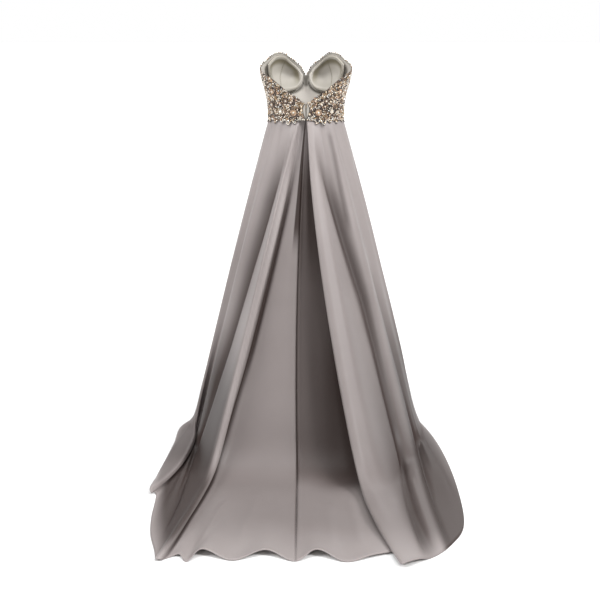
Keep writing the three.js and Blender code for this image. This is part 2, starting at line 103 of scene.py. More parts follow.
# %% Lights
LIGHTS = [
    # name, degrees to the right of the camera, degrees up, strength, softness in degrees
    ("key", 62, 38, 2.5, 20),
    ("fill", -68, 42, 1.8, 30),
    ("front", -12, 30, 0.4, 40),
    ("top", 20, 78, 1.3, 40),
    ("behind", 170, 40, 0.8, 40),
]
LAMP_DISTANCE = 4
for name, side, up, strength, softness in LIGHTS:
    lamp = bpy.data.objects.new(name, bpy.data.lights.new(name, "SUN"))
    lamp.data.energy = strength
    lamp.data.angle = math.radians(softness)
    turn, rise = math.radians(side), math.radians(up)
    toward = Vector((math.sin(turn) * math.cos(rise), -math.cos(turn) * math.cos(rise), math.sin(rise)))
    lamp.rotation_euler = toward.to_track_quat("Z", "Y").to_euler()
    lamp.location = toward * LAMP_DISTANCE
    bpy.context.scene.collection.objects.link(lamp)
print("lights:", len(LIGHTS))

# %% Sky
SKY_WHITE_TO, SKY_DIM_FROM = 0.06, 0.2
SKY_WHITE, SKY_DIM = (1, 1, 1, 1), (0.14, 0.14, 0.143, 1)
world = bpy.data.worlds.new("studio")
bpy.context.scene.world = world
world.use_nodes = True
sky_nodes, sky_links = world.node_tree.nodes, world.node_tree.links
direction = sky_nodes.new("ShaderNodeTexCoord")
parts = sky_nodes.new("ShaderNodeSeparateXYZ")
sky = sky_nodes.new("ShaderNodeValToRGB")
sky.color_ramp.elements[0].position = SKY_WHITE_TO
sky.color_ramp.elements[0].color = SKY_WHITE
sky.color_ramp.elements[1].position = SKY_DIM_FROM
sky.color_ramp.elements[1].color = SKY_DIM
sky_links.new(direction.outputs["Generated"], parts.inputs["Vector"])
sky_links.new(parts.outputs["Z"], sky.inputs["Fac"])
sky_links.new(sky.outputs["Color"], sky_nodes["Background"].inputs["Color"])
bpy.context.scene.view_settings.view_transform = "Standard"
print("sky:", world.name)

# %% [markdown]
# ## Reading a pattern
#
# A gown is drafted from a few sizes taken at a few levels, with smooth lines drawn through them. The next
# cell does the same with numbers: it draws a smooth line through two columns of a table. The bells, ramps
# and bands after it fade things in and out.

# %% Smooth lines through a table
def read_table(places, values, at):
    places = np.asarray(places, float)
    values = np.asarray(values, float)
    at = np.clip(at, places[0], places[-1])
    i = np.searchsorted(places[1:-1], at, side="left")
    last = len(places) - 1
    before, after = np.maximum(np.arange(last + 1) - 1, 0), np.minimum(np.arange(last + 1) + 1, last)
    slope = (values[after] - values[before]) / (places[after] - places[before])
    span = places[i + 1] - places[i]
    t = (at - places[i]) / span
    rise = values[i + 1] - values[i]
    start, end = slope[i] * span, slope[i + 1] * span
    return values[i] + t * (start + t * (3 * rise - 2 * start - end + t * (start + end - 2 * rise)))


def bell(distance, spread):
    return np.exp(-((distance / spread) ** 2))


def ramp(values, middle, softness):
    share = np.clip((values - middle) / softness + 0.5, 0, 1)
    return share * share * (3 - 2 * share)


def band(values, first, last, softness, last_softness=None):
    return ramp(values, first, softness) * (1 - ramp(values, last, last_softness or softness))


def unit(vectors):
    return vectors / np.maximum(np.linalg.norm(vectors, axis=-1, keepdims=True), 1e-9)


print("half way between 0 and 10:", read_table([0, 1], [0, 10], 0.5))

# %% The figure that the bodice is cut for
WAIST_HALF_WIDTH = 127
WAIST_HALF_DEPTH = 91
BODY_LEVELS = np.array([
    # height, half width, back, front
    (0, 127, 91, 91),
    (41, 127.5, 91, 93),
    (81, 134, 93, 97),
    (108, 141, 96, 101),
    (134, 148, 98, 104),
    (161, 152, 100, 104),
    (200, 152.5, 100, 102),
    (240, 151, 98, 98),
])
HIP_FLARE = (0.27, 0.62, 0.3)
CUP_ANGLE, CUP_HEIGHT, CUP_SWELL, CUP_SIDEWAYS = 145, 148, 42, 0.25
CUP_SPREAD_ANGLE, CUP_SPREAD_BELOW, CUP_SPREAD_ABOVE = 27, 40, 57
UPPER_EDGE = np.array([
    # angle from the middle of the back, height
    (0, 56), (6, 60), (14, 76), (28, 95), (37, 113), (50, 135), (70, 153), (84, 162), (96, 174),
    (114, 186), (126, 199), (135, 212), (146, 216), (153, 211), (160, 198), (167, 184), (173, 170),
    (176, 156), (180, 138),
])


def from_back(angle):
    return np.abs((np.asarray(angle, float) + 180) % 360 - 180)


def upper_edge(angle):
    return read_table(UPPER_EDGE[:, 0], UPPER_EDGE[:, 1], from_back(angle))


def body_form(angle, height):
    turn = np.radians(angle)
    below = np.maximum(0, -height)
    level = BODY_LEVELS[:, 0]
    width = read_table(level, BODY_LEVELS[:, 1], height) + HIP_FLARE[0] * below
    back = read_table(level, BODY_LEVELS[:, 2], height) + HIP_FLARE[1] * below
    front = read_table(level, BODY_LEVELS[:, 3], height) + HIP_FLARE[2] * below
    reach = np.where(np.cos(turn) > 0, back, front)
    spread = np.where(height < CUP_HEIGHT, CUP_SPREAD_BELOW, CUP_SPREAD_ABOVE)
    cup = CUP_SWELL * bell(from_back(angle) - CUP_ANGLE, CUP_SPREAD_ANGLE) * bell(height - CUP_HEIGHT, spread)
    x = (width + CUP_SIDEWAYS * cup) * np.sin(turn)
    y = -(reach + cup) * np.cos(turn)
    return np.stack([x, y, np.broadcast_to(height, x.shape)], -1) * MM


def body_frame(angle, height):
    """Directions at a point of the figure: out of it, round it and up it."""
    round_it = unit(body_form(angle + 1, height) - body_form(angle - 1, height))
    up = unit(body_form(angle, height + 2) - body_form(angle, height - 2))
    out = unit(np.cross(round_it, up))
    return out, round_it, np.cross(out, round_it)


def body_point(angle, height, offset):
    angle, height = np.broadcast_arrays(np.asarray(angle, float), np.asarray(height, float))
    return body_form(angle, height) + body_frame(angle, height)[0] * np.asarray(offset)[..., None] * MM


BUST_LEVEL = 161.0
print("bust half width", round(float(body_form(np.array(90.0), np.array(BUST_LEVEL))[0]), 4), "m")

# %% [markdown]
# ## Cloth from a grid
#
# A piece of cloth is a grid of points: rows down the piece and columns round it. A thin shell needs an
# outer grid, an inner grid and a rim that joins them.

# %% Make a mesh from grids
SHELL_EDGE_ANGLE = math.radians(60)


def add_object(name, points, faces, materials, face_materials=None):
    mesh = bpy.data.meshes.new(name)
    mesh.from_pydata(np.asarray(points, float).tolist(), [], faces)
    for material in materials:
        mesh.materials.append(material)
    if face_materials is not None:
        mesh.polygons.foreach_set("material_index", np.asarray(face_materials, np.int32))
    mesh.polygons.foreach_set("use_smooth", [True] * len(mesh.polygons))
    mesh.update()
    made = bpy.data.objects.new(name, mesh)
    bpy.context.scene.collection.objects.link(made)
    return made


def grid_faces(rows, columns, start=0):
    at = np.arange(rows * columns).reshape(rows, columns) + start
    return np.stack([at[:-1, :-1], at[1:, :-1], at[1:, 1:], at[:-1, 1:]], -1).reshape(-1, 4)


def shell(name, outer, inner, outside, inside):
    """A closed shell between two grids, with one finish on its outer face and another on the rest."""
    rows, columns = outer.shape[:2]
    size = rows * columns
    outer_faces = grid_faces(rows, columns)
    inner_faces = grid_faces(rows, columns, size)[:, ::-1]
    ring = np.concatenate([
        np.arange(columns),
        np.arange(2, rows) * columns - 1,
        np.arange(size - 1, size - columns - 1, -1),
        np.arange(rows - 2, 0, -1) * columns,
    ])
    after = np.roll(ring, -1)
    rim = np.stack([ring, after, after + size, ring + size], -1)
    faces = np.concatenate([outer_faces, inner_faces, rim])
    finish = np.concatenate([np.zeros(len(outer_faces)), np.ones(len(faces) - len(outer_faces))])
    points = np.concatenate([outer.reshape(-1, 3), inner.reshape(-1, 3)])
    made = add_object(name, points, faces.tolist(), [outside, inside], finish)
    made.data.set_sharp_from_angle(angle=SHELL_EDGE_ANGLE)
    return made


# %% Shade and place of a piece
def set_painted_light(piece, values):
    """Painted shade: the share of the room's light painted onto each point of the cloth, which the cloth's
    material mixes into its colour.
    """
    shares = piece.data.attributes.new("painted_light", "FLOAT", "POINT")
    shares.data.foreach_set("value", np.ravel(values).astype(np.float32))


def place(piece, slot_name, *nodes):
    """Every piece rides on the gown's one body, and stands for its solid where it has one."""
    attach(piece, "root")
    if nodes:
        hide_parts(*nodes)
    return piece


# %% [markdown]
# ## Satin
#
# Duchess satin is a heavy, smooth weave. Its long floats throw back light in a broad soft band, and very
# fine threads run across it. The shader gets a low sheen, a wide gloss and a bump too fine to see as
# lines, and large soft clouds vary the colour by several parts in a hundred, as dye and wear do. Some
# cloths also have shade painted into their colour in folds and corners: an attribute of the mesh says how
# much of the room's light each point is painted to see, and the colour is mixed toward a painted shade
# colour where it is low, because a stiff thin shell lets in more light than real cloth.

# %% How a cloth is finished
CLOTH_SPECULAR = 0.34
SHEEN_ROUGHNESS = 0.4
CLOUD_DARK_AT, CLOUD_LIGHT_AT = 0.35, 0.65
THREAD_STRETCH = (1, 1, 0.12)
THREAD_HEIGHT = 0.0004


def cloth_material(name, light, dark, roughness, thread, bump, sheen, cloud=5.0, painted_shade_colour=None):
    material = bpy.data.materials.new(name)
    material.use_nodes = True
    nodes, links = material.node_tree.nodes, material.node_tree.links
    shader = nodes["Principled BSDF"]
    shader.inputs["Roughness"].default_value = roughness
    shader.inputs["Specular IOR Level"].default_value = CLOTH_SPECULAR
    shader.inputs["Sheen Weight"].default_value = sheen
    shader.inputs["Sheen Roughness"].default_value = SHEEN_ROUGHNESS
    where = nodes.new("ShaderNodeTexCoord")
    clouds = nodes.new("ShaderNodeTexNoise")
    clouds.inputs["Scale"].default_value = cloud
    clouds.inputs["Detail"].default_value = 3
    links.new(where.outputs["Object"], clouds.inputs["Vector"])
    colours = nodes.new("ShaderNodeValToRGB")
    colours.color_ramp.elements[0].position = CLOUD_DARK_AT
    colours.color_ramp.elements[0].color = (*dark, 1)
    colours.color_ramp.elements[1].position = CLOUD_LIGHT_AT
    colours.color_ramp.elements[1].color = (*light, 1)
    links.new(clouds.outputs["Fac"], colours.inputs["Fac"])
    links.new(colours.outputs["Color"], shader.inputs["Base Color"])
    # Painted shade: where the mesh attribute is low, the colour is mixed toward the painted shade colour.
    if painted_shade_colour:
        painted_light = nodes.new("ShaderNodeAttribute")
        painted_light.attribute_name = "painted_light"
        mixed = nodes.new("ShaderNodeMix")
        mixed.data_type = "RGBA"
        mixed.inputs["A"].default_value = (*painted_shade_colour, 1)
        links.new(painted_light.outputs["Fac"], mixed.inputs["Factor"])
        links.new(colours.outputs["Color"], mixed.inputs["B"])
        links.new(mixed.outputs["Result"], shader.inputs["Base Color"])
    threads = nodes.new("ShaderNodeTexNoise")
    threads.inputs["Scale"].default_value = thread
    threads.inputs["Detail"].default_value = 2
    stretch = nodes.new("ShaderNodeMapping")
    stretch.inputs["Scale"].default_value = THREAD_STRETCH
    links.new(where.outputs["Object"], stretch.inputs["Vector"])
    links.new(stretch.outputs["Vector"], threads.inputs["Vector"])
    height = nodes.new("ShaderNodeBump")
    height.inputs["Strength"].default_value = bump
    height.inputs["Distance"].default_value = THREAD_HEIGHT
    links.new(threads.outputs["Fac"], height.inputs["Height"])
    links.new(height.outputs["Normal"], shader.inputs["Normal"])
    return material


# %% Satins, linings and net
# The last colour given to the satin, the lining, the cups and the lips is a painted shade colour, mixed in
# where the mesh attribute paints less light.
satin = cloth_material("skirt_satin", (0.334, 0.298, 0.29), (0.31, 0.274, 0.267), 0.5, 900, 0.2, 0.05,
                       painted_shade_colour=(0.02, 0.0085, 0.0055))
satin_back = cloth_material("satin_underside", (0.2, 0.165, 0.15), (0.17, 0.14, 0.125), 0.6, 900, 0.3, 0.05)
lining_cloth = cloth_material("lining_cloth", (0.9, 0.85, 0.79), (0.84, 0.79, 0.73), 0.5, 1200, 0.2, 0.15,
                              painted_shade_colour=(0.05, 0.042, 0.022))
foam_cover = cloth_material("cup_cover", (0.5, 0.47, 0.425), (0.46, 0.435, 0.39), 0.55, 1500, 0.2, 0.2,
                            painted_shade_colour=(0.17, 0.146, 0.092))
back_cloth = cloth_material("panel_back", (0.42, 0.4, 0.35), (0.38, 0.36, 0.31), 0.6, 1200, 0.2, 0.1)
net = cloth_material("bead_net", (0.07, 0.048, 0.036), (0.03, 0.02, 0.016), 0.8, 500, 0.7, 0.05, cloud=60.0)
lip_cloth = cloth_material("lip_satin", (0.37, 0.348, 0.31), (0.33, 0.31, 0.28), 0.6, 800, 0.3, 0.1,
                           painted_shade_colour=(0.03, 0.025, 0.018))
tape_cloth = cloth_material("tape_cloth", (0.31, 0.293, 0.262), (0.27, 0.255, 0.23), 0.7, 800, 0.6, 0.05)
cloths = [satin, satin_back, lining_cloth, foam_cover, back_cloth, net, lip_cloth, tape_cloth]
print("cloths:", [cloth.name for cloth in cloths])

# %% [markdown]
# ## Skirt
#
# The skirt is cut in three: a front, and two backs that carry the train and half of the pleat's floor
# each. It could be draped by simulation, but a simulation won't give the same folds twice, and this gown
# is known by its folds. So each fold line is listed one by one: where it leaves the waist, where it meets
# the floor and where it ends at the hem. The cloth is then drawn smoothly from line to line.

# %% Fold lines
# Sizes are in millimetres, with the floor at height 0. Columns: angle at the waist, tuck, where the line
# meets the floor (x, y), where it ends at the hem (x, y), sway, bow, bend on the floor, rise, arch, and
# how much of its way back it only takes up late, near the floor.
RIGHT_BACK_FOLDS = [
    (0, 23, -28, -520, -28, -1142, -14, 0, 0, 0, 0, 0),  # centre back seam
    (2, 23, 18, -524, 28, -1112, -8, 0, 0, 0, 20, 0),  # pleat floor
    (4, 23, 70, -524, 106, -1146, -8, -5, 0, 0, 0, 0),
    (7, 21, 125, -522, 180, -1118, -8, -10, 0, 0, 7, 0),
    (10.5, 17, 187, -524, 288, -1075, -10, -15, 0, 2, 0, 0),  # pleat tuck
    (8, 10.5, 190, -590, 288, -1110, -12, -4, 0, 7, 3, 0),
    (1.4, 6, 163, -640, 248, -1178, -24, 0, -12, 14, 8, 0),  # roll of the pleat's edge
    (2.2, 0, 167, -654, 252, -1185, -24, 0, -12, 24, 14, 0),
    (7, 0, 225, -620, 296, -1150, -14, 6, 0, 24, 10, 0),  # panel ridge
    (17, 1, 302, -440, 335, -1122, 0, -22, -14, 3, 0, 0),  # panel valley
    (33, 0, 350, -330, 368, -1088, 0, 8, -10, 16, 0, 0),  # side crest
    (47, 0, 381, -215, 399, -1039, 0, -4, -12, 2, 0, 0),  # side groove
    (57, 0, 390, -140, 445, -942, 0, 7, 6, 9, 0, 0),
    (66, 0, 396, -90, 465, -707, 0, 9, 0, 5, 0, 0),
    (75, 0, 398, -50, 462, -400, 0, 10, 0, 3, 0, 0),
    (83, 0, 398, -20, 437, -150, 0, 10, 0, 2, 0, 0),
    (92, 0, 396, 25, 399, 25, 0, 10, 0, 0, 0, 0),  # right side seam
]
FRONT_FOLDS = [
    (106, 0, 372, 125, 376, 126, 0, 8, 0, 0, 0, 0),
    (120, 0, 342, 205, 345, 208, 0, 9, 0, 0, 0, 0),
    (134, 0, 262, 262, 264, 264, 0, -4, 0, 0, 0, 0),
    (147, 0, 205, 334, 206, 337, 0, 9, 0, 0, 0, 0),
    (160, 0, 112, 336, 112, 339, 0, -4, 0, 0, 0, 0),
    (173, 0, 38, 374, 38, 378, 0, 8, 0, 0, 0, 0),
    (186, 0, -46, 356, -46, 359, 0, 0, 0, 0, 0, 0),
    (199, 0, -128, 362, -129, 365, 0, 8, 0, 0, 0, 0),
    (212, 0, -196, 300, -198, 302, 0, -4, 0, 0, 0, 0),
    (226, 0, -292, 272, -294, 275, 0, 8, 0, 0, 0, 0),
    (240, 0, -334, 185, -337, 187, 0, 0, 0, 0, 0, 0),
    (254, 0, -382, 115, -386, 117, 0, 8, 0, 0, 0, 0),
]
LEFT_BACK_FOLDS = [
    (266, 0, -398, 40, -401, 40, 0, 10, 0, 0, 0, 0),  # left side seam
    (275, 0, -401, 10, -446, -76, 0, 9, 0, 2, 0, 0),
    (282, 0, -403, -10, -452, -250, 0, 9, 0, 4, 0, 0),
    (288, 0, -404, -25, -470, -556, 0, 8, 0, 11, 6, 0),
    (293, 0, -402, -56, -473, -695, 0, 8, 47, 24, 17, -18),  # edge of the upper flap
    (295, 0.5, -396, -64, -468, -702, 0, 7, 47, 14, 10, -13),
    (298, 1, -391, -50, -460, -684, 0, 5, 22, 7, 4, 14),
    (301, 1, -384, -38, -456, -690, 0, 3, 6, 2, 0, 39),  # tuck under the flap
    (307, 0, -379, -90, -447, -860, 0, 5, 12, 0, 0, 0),
    (316, 0, -377, -150, -434, -980, 0, 8, 10, 4, 0, 0),
    (334, 1, -360, -300, -409, -1080, 0, -20, 2, 1, 0, 0),  # left valley
    (346, 0, -300, -560, -395, -1142, 6, 8, 14, 26, 0, 0),  # left ridge
    (350, 4, -282, -532, -368, -1122, 4, -2, 8, 10, 0, 0),
    (352, 12, -262, -518, -340, -1112, 0, -8, 0, 0, 6, 0),  # pleat floor
    (354, 17, -235, -514, -317, -1145, -4, -8, 0, 0, 0, 0),
    (356, 20, -190, -512, -280, -1110, -6, -6, 0, 0, 20, 0),
    (357, 22, -140, -514, -196, -1137, -8, -4, 0, 0, 0, 0),
    (358.5, 23, -80, -516, -108, -1108, -12, 0, 0, 0, 17, 0),
]
FOLDS = np.array(RIGHT_BACK_FOLDS + FRONT_FOLDS + LEFT_BACK_FOLDS)
RIGHT_SEAM = len(RIGHT_BACK_FOLDS) - 1
LEFT_SEAM = len(RIGHT_BACK_FOLDS) + len(FRONT_FOLDS)
print("fold lines:", len(FOLDS))

# %% Route of one fold line
FLOOR_LIFT = 2.3
FLOOR_BREAK = 110
LATE_POWER = 3
RISE_AT_TOUCH = 0.7
ARCH_FROM = 0.55
BREAK_SHARE = 0.75
BREAK_STEPS = 12
DENSE = 96


def fold_route(fold):
    """Down through the air, round the break and along the floor."""
    angle, tuck, touch_x, touch_y, hem_x, hem_y, sway, bow, bend, rise, arch, late = fold
    turn = math.radians(angle)
    waist = np.array([
        (WAIST_HALF_WIDTH - tuck) * math.sin(turn),
        -(WAIST_HALF_DEPTH - tuck) * math.cos(turn),
        WAIST_HEIGHT / MM,
    ])
    touch = np.array([touch_x, touch_y, FLOOR_LIFT + RISE_AT_TOUCH * rise])
    hem = np.array([hem_x, hem_y, FLOOR_LIFT])
    outward = unit(np.array([touch_x - waist[0], touch_y - waist[1], 0]))
    s = np.linspace(0, 1, DENSE + 1)[:, None]
    middle = 4 * s * (1 - s)
    fall = waist + (touch - waist) * s + outward * bow * middle
    fall[:, 0] += sway * middle[:, 0]
    fall[:, 1] -= late * (s - s**LATE_POWER)[:, 0]
    along = touch + (hem - touch) * s
    along[:, 0] += bend * middle[:, 0]
    s = s[:, 0]
    crest = RISE_AT_TOUCH + (1 - RISE_AT_TOUCH) * np.sin(np.pi * s)
    lift = arch * np.clip((s - ARCH_FROM) / (1 - ARCH_FROM), 0, 1) ** 2
    along[:, 2] = FLOOR_LIFT + rise * crest * (1 - s**3) + lift
    cut = min(FLOOR_BREAK, BREAK_SHARE * np.linalg.norm(hem - touch))
    before = fall[np.linalg.norm(fall - touch, axis=1) > cut]
    after = along[np.linalg.norm(along - touch, axis=1) > cut]
    t = np.linspace(0, 1, BREAK_STEPS + 1)[:, None]
    corner = before[-1] * (1 - t) ** 2 + touch * 2 * t * (1 - t) + after[0] * t**2
    half = BREAK_STEPS // 2
    return np.concatenate([before, corner[1 : half + 1]]), np.concatenate([corner[half:-1], after])


def points_at(route, shares):
    """Points at the given shares of a route's length."""
    run = np.concatenate([[0], np.cumsum(np.linalg.norm(np.diff(route, axis=0), axis=1))])
    return np.stack([np.interp(shares * run[-1], run, route[:, k]) for k in range(3)], -1)


FALL_ROWS = 72
FLOOR_ROWS = 40
FALL_EASE = 1.25
fall_shares = 1 - (1 - np.linspace(0, 1, FALL_ROWS)) ** FALL_EASE
floor_shares = np.linspace(0, 1, FLOOR_ROWS + 1)
fold_lines = []
for fold in FOLDS:
    fall, along = fold_route(fold)
    fold_lines.append(np.concatenate([points_at(fall, fall_shares), points_at(along, floor_shares)[1:]]))
fold_lines = np.stack(fold_lines, 1)
level_of_row = np.concatenate([fall_shares, 1 + floor_shares[1:]])
print("rows and lines:", fold_lines.shape[:2])

# %% Draw the cloth from line to line
STEPS = 10


def through_lines(lines, steps):
    """A smooth closed curve through each row of points, with even steps from one line to the next."""
    made = []
    count = lines.shape[1]
    t = np.linspace(0, 1, steps, endpoint=False)[None, :, None]
    for i in range(count):
        p0, p1, p2, p3 = (lines[:, (i + k) % count][:, None, :] for k in (-1, 0, 1, 2))
        d0, d1, d2 = (np.maximum(np.linalg.norm(b - a, axis=2, keepdims=True) ** 0.5, 1e-4)
                      for a, b in ((p0, p1), (p1, p2), (p2, p3)))
        leave = ((p1 - p0) / d0 - (p2 - p0) / (d0 + d1) + (p2 - p1) / d1) * d1
        arrive = ((p2 - p1) / d1 - (p3 - p1) / (d1 + d2) + (p3 - p2) / d2) * d1
        made.append(p1 + leave * t + (3 * (p2 - p1) - 2 * leave - arrive) * t**2
                    + (2 * (p1 - p2) + leave + arrive) * t**3)
    return np.concatenate(made, 1)


skirt_face = through_lines(fold_lines, STEPS)
fold_of_column = np.arange(skirt_face.shape[1])[None, :] / STEPS
print("skirt grid:", skirt_face.shape[:2])

# %% Ease the folds that are not pressed
# Cloth this heavy holds a hard line only where an iron made one. Columns: first fold, last fold.
EASED = [(8.4, 15.5), (17.0, 28.0), (37.6, 39.7)]
EASE_SPREAD = 3.2
EASE_REACH = 8
EASE_SOFTNESS = 0.8
shifts = np.arange(-EASE_REACH, EASE_REACH + 1)
shares = bell(shifts, EASE_SPREAD) / bell(shifts, EASE_SPREAD).sum()
eased = sum(share * np.roll(skirt_face, int(shift), axis=1) for shift, share in zip(shifts, shares))
ease_share = sum(band(fold_of_column, first, last, EASE_SOFTNESS) for first, last in EASED)
skirt_face = skirt_face + (eased - skirt_face) * ease_share[..., None]
print("eased columns:", int((ease_share > 0.5).sum()))

# %% [markdown]
# ## Creases
#
# Between the fold lines lie softer things: the strip where the pleat is pressed beside the seam, drag
# lines under the waist, the shallow waves of cloth that lies on a floor. Each is a soft trough or ridge
# with its own start, end, width and height, pushed out of or into the cloth, and most also paint shade
# into the colour along their middle. They could be sculpted, but a table lays them in the same place
# every time and is easy to correct.

# %% Creases, listed one by one
# Columns: route, half width and height in millimetres, and how much shade is painted into the colour at its
# middle (below 0, painted light). A route is a list of (fold line, level). A level is 0 at the waist, 1 at
# the floor and 2 at the hem.
CREASES = [
    # valley on the left of the left ridge, the ridge, and the line at its foot
    ([(39.3, 0.03), (39.0, 0.24), (38.8, 0.45), (38.75, 0.7), (38.6, 1.0), (39.0, 1.5), (39.1, 1.9)],
     21, -13, 0.85),
    ([(41.7, 0.03), (41.3, 0.24), (40.75, 0.53), (40.45, 0.81), (40.3, 1.3), (40.15, 1.6), (40.0, 2.3)],
     13, 9, -0.35),
    ([(43.7, 0.04), (43.4, 0.24), (43.0, 0.4), (42.1, 0.67), (41.5, 0.81), (41.0, 0.97), (40.9, 1.35),
      (40.75, 1.6), (40.6, 2.2)], 7, -7, 1.0),
    # panel edge, panel valley, and the short valley beside it
    ([(7.3, 0.03), (7.5, 1.6)], 14, 4, 0.0),
    ([(8.3, 0.03), (8.95, 0.25), (9.2, 0.4), (9.4, 0.54), (9.4, 0.69), (9.3, 0.9), (9.1, 1.45), (8.9, 2.1)],
     19, -13, 0.86),
    ([(9.95, 0.02), (9.6, 0.2), (9.5, 0.36)], 8, -5, 0.4),
    ([(10.3, 0.05), (10.1, 0.6)], 22, 2.5, 0.0),
    ([(10.9, 0.4), (11.0, 1.7)], 18, -4, 0.2),
    ([(11.1, 0.8), (11.0, 1.2), (10.8, 2.1)], 7, -4, 0.6),
    ([(11.7, 0.45), (11.7, 1.5)], 20, 2.5, 0.0),
    # centre back seam and the pressed strips beside it
    ([(0.0, 0.02), (0.0, 1.98)], 2.6, -3, 0.6),
    ([(0.2, 0.04), (0.22, 1.95)], 4.5, 2.4, 0.0),
    ([(46.84, 0.1), (46.86, 1.9)], 5, 1.2, 0.0),
    # left side, beyond the valley
    ([(38.0, 0.2), (38.0, 1.2)], 26, 3, 0.0),
    ([(37.4, 0.4), (37.3, 1.2)], 8, -3, 0.1),
    ([(33.1, 0.95), (33.1, 1.99)], 6, 1, -0.5),  # edge of the upper flap
    # drag lines under the waist
    ([(39.8, 0.02), (39.7, 0.16)], 5, -2, 0.1),
    ([(38.4, 0.01), (38.6, 0.13)], 4, -1.4, 0.05),
    ([(35.0, 0.01), (36.0, 0.1)], 4, -1.2, 0.0),
    ([(9.2, 0.01), (9.0, 0.12)], 4, -1.5, 0.05),
    ([(10.9, 0.01), (10.8, 0.14)], 4, -1.4, 0.05),
    ([(12.4, 0.01), (12.3, 0.1)], 4, -1.2, 0.0),
    # waves of the train
    ([(43.6, 1.35), (43.3, 1.95)], 16, 3, 0.0),
    ([(45.2, 1.25), (45.0, 1.95)], 20, 3.5, 0.0),
    ([(1.7, 1.35), (1.6, 1.95)], 16, 3, 0.0),
    ([(2.8, 1.3), (2.7, 1.9)], 14, 2.5, 0.0),
    ([(9.6, 1.25), (9.7, 1.9)], 14, 4, 0.0),
    # front and sides
    ([(17.3, 0.02), (17.1, 0.6)], 12, -5, 0.15),
    ([(18.6, 0.04), (18.5, 0.9)], 14, 5, 0.0),
    ([(20.4, 0.01), (20.2, 0.75)], 13, -6, 0.2),
    ([(22.6, 0.02), (22.5, 0.85)], 14, 5, 0.0),
    ([(23.6, 0.02), (23.7, 0.7)], 12, -5, 0.15),
    ([(25.3, 0.02), (25.5, 0.8)], 13, -6, 0.2),
    ([(26.6, 0.03), (26.5, 0.9)], 12, 5, 0.0),
    ([(28.2, 0.02), (28.4, 0.65)], 12, 4, 0.0),
    ([(30.5, 0.1), (30.6, 0.85)], 10, -2.5, 0.1),
    ([(14.5, 0.1), (14.4, 0.8)], 10, -4, 0.1),
    ([(13.3, 0.15), (13.3, 0.9)], 11, 4, 0.0),
]
print("creases:", len(CREASES))

# %% Press the creases into the cloth
SHADE_SPREAD = 1.4  # a crease shades somewhat more cloth than it bends
FADE_IN, FADE_OUT = 0.12, 0.2


def outward_of(face):
    """Direction out of the cloth at every point, square to its row and its column."""
    down = np.gradient(face, axis=0)
    around = np.roll(face, -1, axis=1) - np.roll(face, 1, axis=1)
    return unit(np.cross(down, around))


def across_run(face):
    """Distance along each row, counted from the centre back seam."""
    step = np.linalg.norm(np.roll(face, -1, axis=1) - face, axis=2)
    return np.concatenate([np.zeros((len(face), 1)), np.cumsum(step, axis=1)], 1)


def lay_creases(face):
    """Height of all creases at every point, and the shade that they paint into the colour there."""
    run = across_run(face)
    columns = np.arange(run.shape[1])
    height_map, painted_shade_map = np.zeros(face.shape[:2]), np.zeros(face.shape[:2])
    for route, half_width, height, loss in CREASES:
        folds, levels = np.array(route).T
        share = (level_of_row - levels[0]) / (levels[-1] - levels[0])
        fade = np.clip(share / FADE_IN, 0, 1) * np.clip((1 - share) / FADE_OUT, 0, 1)
        fade = fade * fade * (3 - 2 * fade)
        where = np.interp(level_of_row, levels, folds) * STEPS
        for row in np.flatnonzero(fade > 0):
            centre = np.interp(where[row], columns, run[row])
            away = run[row][:-1] - centre
            away = np.minimum(np.abs(away), np.abs(run[row][-1] - np.abs(away)))
            height_map[row] += height * fade[row] * bell(away, half_width)
            painted_shade_map[row] += loss * fade[row] * bell(away, half_width * SHADE_SPREAD)
    return height_map, painted_shade_map


UNEVEN = [
    # waves along a row, waves down the fall, start, height: slight unevenness all over
    (9, 1.7, 0.3, 0.8),
    (17, 2.9, 1.9, 0.5),
    (29, 4.3, 4.1, 0.3),
]
UNEVEN_FADE_IN, UNEVEN_FADE_OUT = 0.15, 0.3
LOWEST = 1.6
row_level = level_of_row[:, None]
phase = np.linspace(0, 2 * np.pi, skirt_face.shape[1], endpoint=False)
uneven = sum(h * np.sin(n * phase[None, :] + s) * np.sin(np.pi * w * row_level + s)
             for n, w, s, h in UNEVEN)
uneven = uneven * np.clip(row_level / UNEVEN_FADE_IN, 0, 1) * np.clip((2 - row_level) / UNEVEN_FADE_OUT, 0, 1)
crease_height, crease_painted_shade = lay_creases(skirt_face)
skirt_face = skirt_face + outward_of(skirt_face) * (crease_height + uneven)[..., None]
skirt_face[..., 2] = np.maximum(skirt_face[..., 2], LOWEST)
skirt_face[..., 2] -= WAIST_HEIGHT / MM
skirt_face *= MM
corners = skirt_face.reshape(-1, 3)
print("skirt from", corners.min(0).round(3), "to", corners.max(0).round(3))
